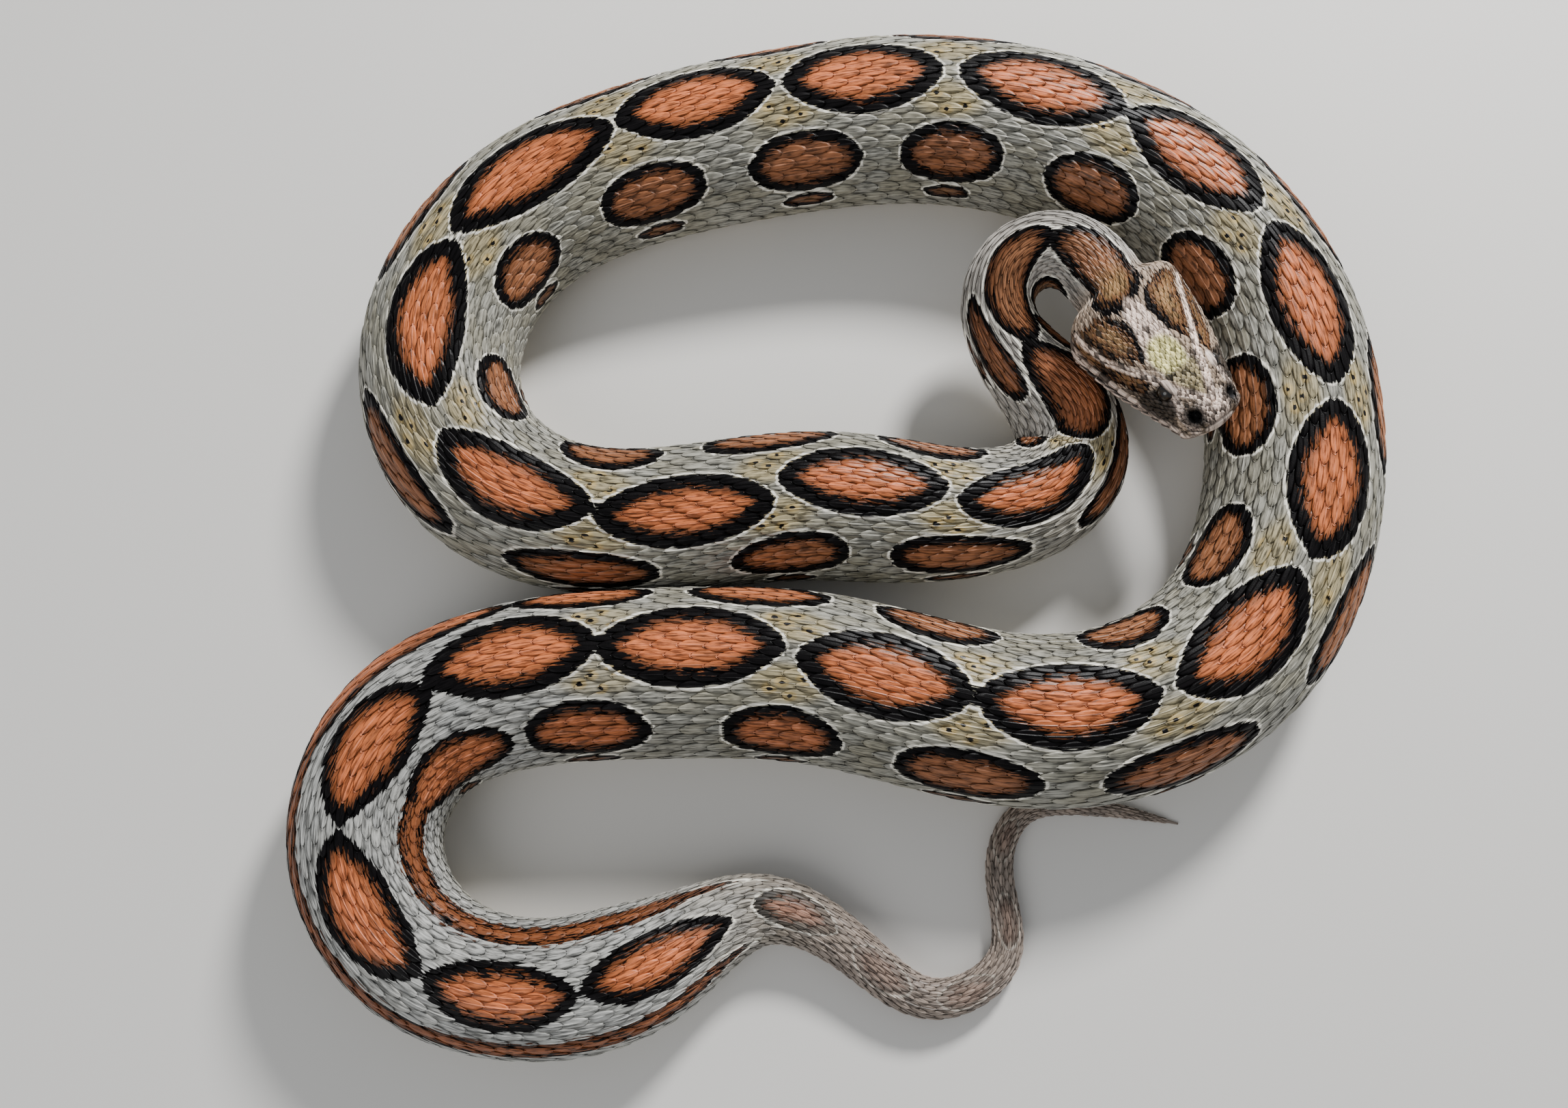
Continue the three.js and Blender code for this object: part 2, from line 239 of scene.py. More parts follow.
def head_table():
    """Height and leftward place of the head's surface at each place of the table."""
    ahead = head_ahead[:, None]
    angle = np.linspace(0, math.pi, 600)[None, :]
    headness = smooth(ahead / CROWN_START)
    power = 2 / (2 + (SQUARE_CROWN - 2) * headness)
    half_width, top, underside = (column(HEAD_OUTLINE, i)(ahead) for i in (1, 2, 3))
    lip = np.minimum(LIP_HEIGHT + LIP_RISE * ahead, (top + underside) / 2)
    round_middle = 2 * SQUATNESS * half_width / (1 + BELLY_FLAT) * BELLY_FLAT
    middle = round_middle + (lip - round_middle) * headness
    flatness = BELLY_FLAT + (1 - BELLY_FLAT) * headness
    full_underside = middle - (middle - underside) / flatness
    aside = np.abs(np.sin(angle)) ** power
    level = np.sign(np.cos(angle)) * np.abs(np.cos(angle)) ** power
    reach = np.where(level > 0, top - middle, middle - full_underside)
    lean = 1 - CROWN_LEAN * headness * np.maximum(level, 0)
    height = np.maximum(middle + level * reach, underside)
    out = half_width * aside * lean
    arc = np.cumsum(np.hypot(np.diff(height, axis=1), np.diff(out, axis=1)), axis=1)
    arc = np.concatenate([np.zeros((HEAD_ROWS, 1)), arc], 1)
    share = np.abs(head_share)
    heights = np.empty((HEAD_ROWS, HEAD_COLUMNS))
    lefts = np.empty((HEAD_ROWS, HEAD_COLUMNS))
    neck_half = width_at(0.0) / 2
    for i in range(HEAD_ROWS):
        heights[i] = np.interp(share, arc[i] / arc[i, -1], height[i])
        lefts[i] = np.interp(share, arc[i] / arc[i, -1], out[i])
    join = 1 - smooth(head_ahead / 3)[:, None]
    heights += join * (neck_half * np.interp(share, section_share, section_up) - heights)
    lefts += join * (neck_half * np.interp(share, section_share, section_side) - lefts)
    return heights, lefts * np.sign(head_share), arc[:, -1]


head_heights, head_lefts, head_half_girths = head_table()
girth_stations = np.concatenate([-head_ahead[::-1], np.arange(1, BODY_LENGTH, 2.0)])
girth_values = np.concatenate(
    [head_half_girths[::-1], UNIT_HALF_GIRTH * width_at(np.arange(1, BODY_LENGTH, 2.0)) / 2])


def half_girth(p):
    """Length of skin from the middle of the back to the belly's midline."""
    return np.interp(p, girth_stations, girth_values)


def table_value(table, ahead, g):
    """A table over the head read between its places."""
    row = np.clip(ahead / HEAD_LENGTH * (HEAD_ROWS - 1), 0, HEAD_ROWS - 1.001)
    col = np.clip((wrap(g) + 1) / 2 * (HEAD_COLUMNS - 1), 0, HEAD_COLUMNS - 1.001)
    r, c = row.astype(int), col.astype(int)
    fr, fc = row - r, col - c
    return ((table[r, c] * (1 - fc) + table[r, c + 1] * fc) * (1 - fr)
            + (table[r + 1, c] * (1 - fc) + table[r + 1, c + 1] * fc) * fr)


# Outward normals of the head's table, as parts ahead, up and left.
step_ahead, step_share = head_ahead[1], head_share[1] - head_share[0]
height_da, height_dg = np.gradient(head_heights, step_ahead, step_share)
left_da, left_dg = np.gradient(head_lefts, step_ahead, step_share)
normal_up = left_dg
normal_left = -height_dg
normal_ahead = -(height_da * normal_up + left_da * normal_left)
normal_length = np.sqrt(normal_ahead ** 2 + normal_up ** 2 + normal_left ** 2) + 1e-9
normal_ahead, normal_up, normal_left = (
    part / normal_length for part in (normal_ahead, normal_up, normal_left))

HEAD_ORIGIN = route_point(np.array(0.0))
HEAD_LEFT = np.cross(UP, HEAD_AXIS)


def in_head_frame(ahead, height, left):
    """Points of the head's unrolled frame, rolled and put in place."""
    ahead, height, left = (np.asarray(value, float) for value in (ahead, height, left))
    roll = HEAD_ROLL * smooth(ahead / CROWN_START)
    rolled_height = height * np.cos(roll) + left * np.sin(roll)
    rolled_left = left * np.cos(roll) - height * np.sin(roll)
    return (HEAD_ORIGIN + ahead[..., None] * HEAD_AXIS + rolled_height[..., None] * UP
            + rolled_left[..., None] * HEAD_LEFT)


def mouth_height(ahead):
    """Height of the mouth line."""
    places, heights = zip(*MOUTH_LINE)
    return np.interp(ahead, places, heights)


def side_share(ahead, height):
    """Girth share where the left side of the head is at a height."""
    share = np.linspace(0, 0.999, 500)
    heights = table_value(head_heights, np.full(500, ahead), share)
    return np.interp(height, heights[::-1], share[::-1])


def to_nostril(ahead, g):
    """Distance in mm from the middle of the nostril on the same side."""
    share = np.where(g < 0, *NOSTRIL_PLACES)
    return np.hypot(ahead - NOSTRIL_AHEAD, (np.abs(g) - share) * SNOUT_HALF_GIRTH)


def to_eye(ahead, height, left):
    """Distance in mm from the middle of the eye on the same side."""
    return np.sqrt((ahead - EYE_AHEAD) ** 2 + (height - EYE_HEIGHT) ** 2
                   + (np.abs(left) - EYE_ASIDE) ** 2)


def head_relief(ahead, g, height, left):
    """How far in mm the head's skin stands out: brows, eye sockets, nostrils and mouth."""
    socket = -0.55 * smooth((SOCKET_REACH - to_eye(ahead, height, left)) / 1.2)
    brow = 0.45 * np.exp(-((ahead - EYE_AHEAD + 0.5) / 4.2) ** 4
                         - ((np.abs(left) - 5.4) / 1.3) ** 2) * smooth((height - 13) / 2)
    nostril_mm = to_nostril(ahead, g)
    bowl = NOSTRIL_RADIUS + 0.6
    nostril = -1.9 * smooth((bowl - nostril_mm) / bowl)
    rim = 0.25 * np.exp(-((nostril_mm - NOSTRIL_RADIUS - 0.9) / 0.6) ** 2)
    to_mouth = height - mouth_height(ahead)
    groove = -0.45 * np.exp(-(to_mouth / 0.45) ** 2) * smooth((ahead - 11) / 2)
    return socket + brow + nostril + rim + groove


def head_point(ahead, g, lift):
    """Points on the head's surface, moved out by a lift."""
    height = table_value(head_heights, ahead, g)
    left = table_value(head_lefts, ahead, g)
    out = lift + head_relief(ahead, g, height, left)
    return in_head_frame(ahead + out * table_value(normal_ahead, ahead, g),
                         height + out * table_value(normal_up, ahead, g),
                         left + out * table_value(normal_left, ahead, g))


def surface(p, g, lift):
    """Points on the animal's surface, moved out by a lift."""
    p, g, lift = np.broadcast_arrays(np.asarray(p, float), g, lift)
    on_head = p < 0
    points = np.empty(p.shape + (3,))
    points[~on_head] = body_point(p[~on_head], g[~on_head], lift[~on_head])
    points[on_head] = head_point(-p[on_head], g[on_head], lift[on_head])
    return points


# ---- the colour fields ---------------------------------------------------------------------

oval_middles, _, oval_offsets = (np.array(values, float) for values in zip(*BACK_OVALS))


def back_offset(p, g):
    """How far the pattern and the scale rows lie off the geometric top of the back."""
    offset = np.interp(p, oval_middles, oval_offsets)
    return offset * (1 - smooth(np.abs(g) / 0.7))


def oval_distance(dp, dg, half_length, half_width, girth, bluntness):
    """Rough distance in mm from an oval's edge, less than 0 inside it.

    A bluntness of 2 is an ellipse, and less brings its ends to a point.
    """
    t = np.abs(dp) / half_length
    v = np.abs(dg) / half_width
    level = t ** 2 + v ** bluntness - 1
    slope = np.hypot(2 * t / half_length,
                     bluntness * v ** (bluntness - 1) / (half_width * girth))
    return np.clip(level / np.maximum(slope, 1e-3), -FAR, FAR)


def chain_distance(x, y, points):
    """Distance from a bent line."""
    nearest = np.full(x.shape, 1e3)
    for (ax, ay), (bx, by) in zip(points[:-1], points[1:]):
        t = np.clip(((x - ax) * (bx - ax) + (y - ay) * (by - ay))
                    / ((bx - ax) ** 2 + (by - ay) ** 2), 0, 1)
        nearest = np.minimum(nearest, np.hypot(x - ax - t * (bx - ax), y - ay - t * (by - ay)))
    return nearest


def outline_distance(x, y, points):
    """Signed distance from a closed outline, less than 0 inside it."""
    closed = list(points) + [points[0]]
    inside = np.zeros(x.shape, bool)
    for (ax, ay), (bx, by) in zip(closed[:-1], closed[1:]):
        if ay != by:
            inside ^= ((ay > y) != (by > y)) & (x < ax + (y - ay) * (bx - ax) / (by - ay))
    distance = chain_distance(x, y, closed)
    return np.where(inside, -distance, distance)


# Head markings, as (distance ahead, girth share).
RIGHT_PATCH = [(6.5, -0.38), (8, -0.2), (12, -0.125), (17, -0.12), (21, -0.15), (24, -0.19),
               (22.5, -0.26), (19, -0.31), (13, -0.36), (8, -0.4)]
LEFT_PATCH = [(5.5, 0.3), (7, 0.12), (9, 0.06), (13, 0.035), (17, 0.035), (21, 0.07),
              (24.5, 0.12), (24.5, 0.15), (20, 0.23), (16, 0.27), (11, 0.31), (7, 0.36)]
RIGHT_CHEEK = [(8, -0.44), (14, -0.42), (20, -0.385), (25, -0.35), (28, -0.32)]
LEFT_CHEEK = [(8, 0.44), (14, 0.4), (20, 0.33), (25, 0.28), (28, 0.25)]
RIGHT_LINE = [(7, -0.425), (17, -0.375), (22.5, -0.32), (27, -0.26), (32, -0.22), (35, -0.19),
              (39, -0.08), (42, 0.01)]
LEFT_LINE = [(8, 0.41), (12, 0.34), (17, 0.27), (25, 0.19), (30, 0.13), (35, 0.1), (42, 0.03)]
CROWN_BAND = [(7, -0.05), (10, -0.1), (15, -0.11), (20, -0.14), (24, -0.18), (30, -0.17),
              (30, 0.06), (20, 0.05), (15, 0.02), (10, 0.015), (8, -0.02)]
FRONT_CROWN = [(29.5, -0.17), (34, -0.14), (39.6, -0.01), (34, 0.07), (29.5, 0.09)]
SNOUT_STRIPES = [[(36, -0.25), (41, -0.31), (46, -0.36)], [(36, 0.25), (41, 0.31), (46, 0.36)]]


def in_mm(outline):
    """A head marking's points as mm ahead and mm to the left over the skin."""
    return [(ahead, share * float(half_girth(-ahead))) for ahead, share in outline]


def head_tints(x, y, g):
    """Olive, pale and black shares at places x mm ahead and y mm to the left on the head."""
    share = np.abs(g)
    lines, stripes = (np.minimum(*(chain_distance(x, y, in_mm(points)) for points in pair))
                      for pair in ((RIGHT_LINE, LEFT_LINE), SNOUT_STRIPES))
    band = outline_distance(x, y, in_mm(CROWN_BAND))
    lips = smooth((share - 0.44) / 0.05) * smooth((x - 4) / 6)
    snout = smooth((x - 39.5) / 3) * smooth((0.2 - share) / 0.05)
    pale = np.maximum.reduce([smooth((1.1 - lines) / 0.5), 0.85 * smooth((0.5 - band) / 0.8),
                              0.8 * smooth((1.5 - stripes) / 0.5), 0.75 * lips, 0.85 * snout])
    spot = np.hypot((x - 26) / 5.6, (g + 0.055) / 0.115)
    front = smooth((0.3 - outline_distance(x, y, in_mm(FRONT_CROWN))) / 0.8)
    olive = np.maximum(smooth((1.25 - spot) / 0.4), 0.9 * front)
    pale *= 1 - 0.7 * front * smooth((spot - 0.9) / 0.4)

    # Black: a patch round the eye, painted shade inside the nostril with a softer dark edge round
    # it, and painted shade in the mouth's slit.
    patch = np.hypot((x - 34.8) / 5.2, (share - 0.385) / 0.125)
    from_nostril = to_nostril(x, g) - NOSTRIL_RADIUS
    to_mouth = np.abs(table_value(head_heights, x, g) - mouth_height(x))
    # Painted shade: the mouth's slit is painted black, standing in for the shade in the groove
    # between the lips.
    slit = smooth((0.55 - to_mouth) / 0.3) * smooth((x - 12) / 2)
    # The nostril's opening is painted black as painted shade inside it; a softer dark edge lies
    # round it.
    black = np.maximum.reduce([0.87 * smooth((1.1 - patch) / 0.2),
                               smooth((0.7 - from_nostril) / 0.5),
                               0.82 * smooth((2.5 - from_nostril) / 1.5), slit])
    return olive, pale, black


def fields(p, g):
    """Colour fields at places of the animal: mark, tint, zone and pit, three parts each.

    mark is the distance in mm from the nearest black-ringed marking, the width of its black
    ring, and how brown it is. tint is the olive, pale and black shares. zone is the head's
    share, the girth share from the back, and a value from -1 on the neck to 1 on the tail.
    pit is the place in mm from the nearest small black pit, and 1 if there is one near.
    """
    p, g = np.broadcast_arrays(np.asarray(p, float), np.asarray(g, float))
    girth = half_girth(p)
    g = wrap(g)
    own = g - back_offset(p, g)  # girth share from the middle of the pattern
    distance = np.full(p.shape, FAR)
    ring = np.full(p.shape, 3.0)
    brown, olive, pale, black = np.zeros((4,) + p.shape)
    pit = np.full(p.shape + (3,), 9.0)

    def mark(near, new_distance, new_ring, new_brown):
        closer = new_distance < distance[near]
        rows = np.flatnonzero(near)[closer]
        distance.flat[rows] = new_distance[closer]
        ring.flat[rows] = np.broadcast_to(new_ring, closer.shape)[closer]
        brown.flat[rows] = np.broadcast_to(new_brown, closer.shape)[closer]

    for middle, half_length, offset in BACK_OVALS:
        near = (np.abs(p - middle) < half_length + 9) & (np.abs(own) < 0.5)
        dp, dg = p[near] - middle, g[near] - offset
        on_neck = 1 - smooth((middle - 45) / 70)
        tail_share = smooth((middle - VENT) / 60)
        half_width = BACK_HALF_WIDTH + 0.07 * on_neck + 0.08 * tail_share
        t = np.minimum(np.abs(dp) / half_length, 1)
        thinner = 1 - 0.3 * smooth((middle - 860) / 60)
        black_ring = (4.6 + 2.8 * t ** 2) * (1 - 0.5 * on_neck) * (1 - 0.6 * tail_share) * thinner
        mark(near, oval_distance(dp, dg, half_length + 0.7, half_width, girth[near],
                                 1.5 + 0.4 * on_neck),
             black_ring, 0.05 + 0.8 * on_neck ** 2 + 0.9 * tail_share)
    for sign, middles in ((1, LEFT_OVALS), (-1, RIGHT_OVALS)):
        for middle in middles:
            near = (np.abs(p - middle) < 34) & (sign * own > 0.1)
            dp, dg = p[near] - middle, own[near] - sign * SIDE_MIDDLE
            size = 0.62 + 0.38 * smooth((middle - 40) / 90)
            reach = 1 + 0.5 * smooth((middle - 870) / 30)
            half_length = SIDE_HALF_LENGTH * size
            t = np.minimum(np.abs(dp) / half_length, 1)
            mark(near, oval_distance(dp, dg, half_length * reach, SIDE_HALF_WIDTH, girth[near],
                                     2.1),
                 (3.4 + 1.5 * t ** 2) * size * (1.6 - 0.6 * reach),
                 0.75 - 0.45 * smooth((middle - 760) / 80))
            mark(near, oval_distance(dp, own[near] - sign * LOW_MIDDLE, LOW_HALF_LENGTH * size,
                                     LOW_HALF_WIDTH, girth[near], 2),
                 2.6 * size, 1.0)
    # A large dark blotch on the inner flank of the bent neck: partly a real blotch, partly painted
    # shade in the tight bend of the hook.
    near = (p > -6) & (p < 60) & (g < -0.3)
    mark(near, oval_distance(p[near] - 27, g[near] + 0.55, 24, 0.15, girth[near], 2.2), 4.0, 1.0)
    # Low on the rear of the trunk the side ovals run together into a stripe.
    rear = p > 915
    thin = 0.06 * smooth((p[rear] - 905) / 25)
    fading = 4 * smooth((p[rear] - 1040) / 50)
    mark(rear, (np.abs(np.abs(own[rear]) - 0.3) - thin) * girth[rear] + fading, 1.1, 0.35)
    # Olive patches with small black pits lie on both sides of each junction of two back ovals.
    for (middle, half_length, _), (next_middle, next_half_length, _) in zip(
            BACK_OVALS[2:-10], BACK_OVALS[3:-9]):
        junction = (middle + half_length + next_middle - next_half_length) / 2
        strength = 0.8 - 0.6 * smooth((junction - 830) / 60)
        for sign in (1, -1):
            dp, dg = p - junction, (own - sign * 0.115) * girth
            olive = np.maximum(olive,
                               strength * smooth((1.35 - np.hypot(dp / 9.5, dg / 4.5)) / 0.6))
            for behind, aside in PITS:
                x, y = dp - behind, dg - sign * aside
                nearer = np.hypot(x, y) < np.hypot(pit[..., 0], pit[..., 1])
                pit[nearer] = np.stack([x, y, np.ones(p.shape)], -1)[nearer]

    # The ground is paler between the ovals of the rear.
    greyer = smooth((p - 830) / 70) * smooth((1075 - p) / 40)
    pale += 0.45 * greyer * smooth((0.65 - np.abs(g)) / 0.3)
    on_head = p < 1
    if on_head.any():
        x, y = -p[on_head], g[on_head] * girth[on_head]
        for outline, middle in ((RIGHT_PATCH, 0.24), (LEFT_PATCH, 0.17)):
            mark(on_head, outline_distance(x, y, in_mm(outline)),
                 0.5 + 2.3 * smooth((middle - np.abs(g[on_head])) / 0.12), 0.55)
        mark(on_head, chain_distance(x, y, in_mm(RIGHT_CHEEK)) - 2.6, 1.1, 1.0)
        mark(on_head, chain_distance(x, y, in_mm(LEFT_CHEEK)) - 2.2, 0.4, 0.5)
        olive[on_head], pale[on_head], black[on_head] = head_tints(x, y, g[on_head])
    mark_field = np.stack([distance, ring, brown], -1)
    tint_field = np.stack([olive, pale, black], -1)
    zone_field = np.stack([smooth((4 - p) / 8), np.abs(g),
                           smooth((p - 1035) / 60) - smooth((135 - p) / 80)], -1)
    return {"mark": mark_field, "tint": tint_field, "zone": zone_field, "pit": pit}


# ---- meshes --------------------------------------------------------------------------------

def ring_quads(start, rings, columns):
    """Faces between rings of points that follow one another from a start."""
    return [(a + i, a + columns + i, a + columns + (i + 1) % columns, a + (i + 1) % columns)
            for a in range(start, start + (rings - 1) * columns, columns)
            for i in range(columns)]


def fan(pole, start, columns):
    """Faces from a pole to the ring of points that begins at a start."""
    return [(pole, start + i, start + (i + 1) % columns) for i in range(columns)]


def flipped(faces):
    """The same faces, looking the other way."""
    return [face[::-1] for face in faces]


def slab(upper, edge, count):
    """Faces of a closed slab: the upper ones, the same ones underneath, and walls at its edge.

    The points underneath come after all the upper ones, which are count points.
    """
    under = [[i + count for i in face] for face in flipped(upper)]
    walls = [(a, b, b + count, a + count) for a, b in zip(edge, edge[1:] + edge[:1])]
    return upper + under + walls


def corners_of(faces):
    """Faces as one list of all their corners, and how many corners each has."""
    return np.concatenate([np.array(face) for face in faces]), [len(face) for face in faces]


def new_piece(name, points, corners, material, extras, crest=None):
    """A finished piece from points in mm, faces as corners_of gives them, and attributes.

    crest marks the points whose joining edges stay sharp.
    """
    loops, sizes = corners
    mesh = bpy.data.meshes.new(name)
    mesh.vertices.add(len(points))
    mesh.vertices.foreach_set("co", (points * MM).astype(np.float32).ravel())
    mesh.loops.add(len(loops))
    mesh.loops.foreach_set("vertex_index", loops.astype(np.int32))
    mesh.polygons.add(len(sizes))
    starts = np.cumsum(sizes) - sizes
    mesh.polygons.foreach_set("loop_start", starts.astype(np.int32))
    mesh.update(calc_edges=True)
    mesh.polygons.foreach_set("use_smooth", np.ones(len(sizes), bool))
    for key, values in extras.items():
        if key == "OFBake":
            layer = mesh.uv_layers.new(name=key)
            layer.data.foreach_set("uv", values[loops].astype(np.float32).ravel())
        else:
            attribute = mesh.attributes.new(key, "FLOAT_VECTOR", "POINT")
            attribute.data.foreach_set("vector", values.astype(np.float32).ravel())
    if crest is not None:
        ends = np.empty(2 * len(mesh.edges), np.int32)
        mesh.edges.foreach_get("vertices", ends)
        sharp = mesh.attributes.new("sharp_edge", "BOOLEAN", "EDGE")
        sharp.data.foreach_set("value", crest[ends.reshape(-1, 2)].all(axis=1))
    if mesh.validate():
        raise RuntimeError(f"{name} has faults in its mesh")
    mesh.materials.append(material)
    piece = bpy.data.objects.new(name, mesh)
    bpy.context.scene.collection.objects.link(piece)
    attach(piece, "root")
    return piece


# Places of a plate's points along it, from root to tip, and across it.
PLATE_U = np.array([0, 0.2, 0.45, 0.7, 0.88, 1.0])
PLATE_V = np.array([-1, -0.62, -0.13, 0, 0.13, 0.62, 1.0])
PLATE_PATCH = 0.003  # size of one plate's patch in the UV map
UV_MARGIN = 0.02


def plate_faces(rows, columns):
    """Faces of one closed plate: its upper grid, strips under it, and both ends."""
    at = lambda i, j: i * columns + j
    faces = [[at(i, j), at(i, j + 1), at(i + 1, j + 1), at(i + 1, j)]
             for i in range(rows - 1) for j in range(columns - 1)]
    faces += [[at(i + 1, 0), at(i + 1, columns - 1), at(i, columns - 1), at(i, 0)]
              for i in range(rows - 1)]
    faces.append([at(0, j) for j in range(columns)][::-1])
    faces.append([at(rows - 1, j) for j in range(columns)])
    return faces


def add_plates(name, material, rng, root_p, root_g, length, half_width, height, sink,
               keel=0.0, tip=0.1, us=PLATE_U, vs=PLATE_V, own_share=(0.15, 0.15), square=0.0,
               halves=0.0, spots=0.0):
    """Joins many thin plates laid on the skin, each from its root towards the tail.

    tip is how far the sides of a plate fall back from its tip, as a share of its length.
    own_share is how far a marking's edge may cross a plate along and across it, from 0 for
    plates of one colour. square is 0 for rounded ends and 1 for straight ones. halves is how
    far from the keel, as a share of the half width, the markings are read for each side of it.
    spots is how black each whole plate is, apart from the markings.
    """
    count = len(root_p)
    root_p, root_g, length, half_width, height, sink, keel, spots = (
        np.broadcast_to(values, count)[:, None]
        for values in (root_p, root_g, length, half_width, height, sink, keel, spots))
    u, v = (grid.ravel() for grid in np.meshgrid(us, vs, indexing="ij"))
    fall = tip * np.abs(v) ** 2.3 * u ** 3
    narrow = (1 - 0.2 * (1 - square) * np.abs(u - 0.42) ** 1.4) * (1 - 0.28 * (1 - square) * u ** 6)
    p = root_p + length * (u - fall)
    g = root_g + half_width * (v * narrow)
    rise = np.sin(np.minimum(u * 1.12, 1) * math.pi / 2) ** 1.1
    rim = 1 - 0.22 * np.abs(v) ** 4 - 0.3 * np.clip((u - 0.86) / 0.14, 0, 1) ** 2
    crest = (v == 0) * smooth(u / 0.25) * smooth((1.1 - u) / 0.15)
    points = surface(p, g, -sink + (height + sink) * rise * rim + keel * crest)
    centre_p = root_p + length * 0.6
    side_g = root_g + half_width * halves * np.sign(v)
    mark = fields(centre_p + (p - centre_p) * own_share[0],
                  side_g + (g - root_g) * own_share[1])["mark"]
    extras = fields(p, g)
    extras["tint"][..., 2] = np.maximum(extras["tint"][..., 2], spots)
    # The nearest pit is the same one all over a plate, so that its place stays even.
    home = fields(centre_p, root_g)["pit"]
    girth = half_girth(centre_p)
    pit = np.stack(np.broadcast_arrays(p - centre_p + home[..., 0],
                                       (g - root_g) * girth + home[..., 1], home[..., 2]), -1)
    plate = np.stack(np.broadcast_arrays(u, v, rng.random(count)[:, None]), -1)
    lay = np.stack([extras["mark"][..., 0] - mark[..., 0], p, wrap(g) * half_girth(p)], -1)
    extras.update(mark=mark, pit=pit, plate=plate, lay=lay)
    extras = {key: values.reshape(-1, 3) for key, values in extras.items()}
    stretch = (root_p - root_p.min()) / (root_p.max() + 1e-6 - root_p.min())
    home_uv = UV_MARGIN + (1 - 2 * UV_MARGIN) * np.stack([stretch, (wrap(root_g) + 1) / 2], -1)
    extras["OFBake"] = (home_uv + PLATE_PATCH * np.stack([u, v / 2], -1)).reshape(-1, 2)
    loops, sizes = corners_of(plate_faces(len(us), len(vs)))
    loops = (loops[None, :] + (np.arange(count) * len(u))[:, None]).ravel()
    on_keel = ((np.abs(v) < 0.2) & (u > 0) & (keel > 0.05)).ravel()
    return new_piece(name, points.reshape(-1, 3), (loops, np.tile(sizes, count)), material,
                     extras, on_keel)


# ---- materials -----------------------------------------------------------------------------

# Short names for the nodes used most: type, inputs in the order they are given, output, settings.
NODES = {
    "mix": ("ShaderNodeMix", (0, 6, 7), 2, {"data_type": "RGBA"}),
    "ramp": ("ShaderNodeMapRange", (0, 1, 2), 0, {"interpolation_type": "SMOOTHSTEP"}),
    "sum": ("ShaderNodeMath", (0, 1), 0, {"operation": "ADD"}),
    "times": ("ShaderNodeMath", (0, 1), 0, {"operation": "MULTIPLY"}),
    "most": ("ShaderNodeMath", (0, 1), 0, {"operation": "MAXIMUM"}),
    "without_sign": ("ShaderNodeMath", (0,), 0, {"operation": "ABSOLUTE"}),
    "noise": ("ShaderNodeTexNoise", ("Vector", "Scale", "Detail"), 0, {}),
    "brighten": ("ShaderNodeHueSaturation", ("Color", "Value", "Saturation"), 0, {}),
    "split": ("ShaderNodeSeparateXYZ", (0,), slice(None), {}),
}


def new_material(name):
    """An empty node material, and the one function that adds nodes to it."""
    material = bpy.data.materials.new(name)
    material.use_nodes = True
    tree = material.node_tree
    tree.nodes.clear()

    def add(kind, *inputs, out=0, **settings):
        """Adds a node with its settings, sets or links its inputs, and gives an output back."""
        kind, keys, out, presets = NODES.get(kind, (kind, range(len(inputs)), out, {}))
        node = tree.nodes.new(kind)
        for key, value in {**presets, **settings}.items():
            setattr(node, key, value)
        by_name = len(inputs) == 1 and isinstance(inputs[0], dict)
        for key, value in (inputs[0] if by_name else dict(zip(keys, inputs))).items():
            if isinstance(value, bpy.types.NodeSocket):
                tree.links.new(value, node.inputs[key])
            else:
                node.inputs[key].default_value = (*value, 1) if isinstance(value, Color) else value
        return node.outputs[out] if node.outputs else node

    return material, add


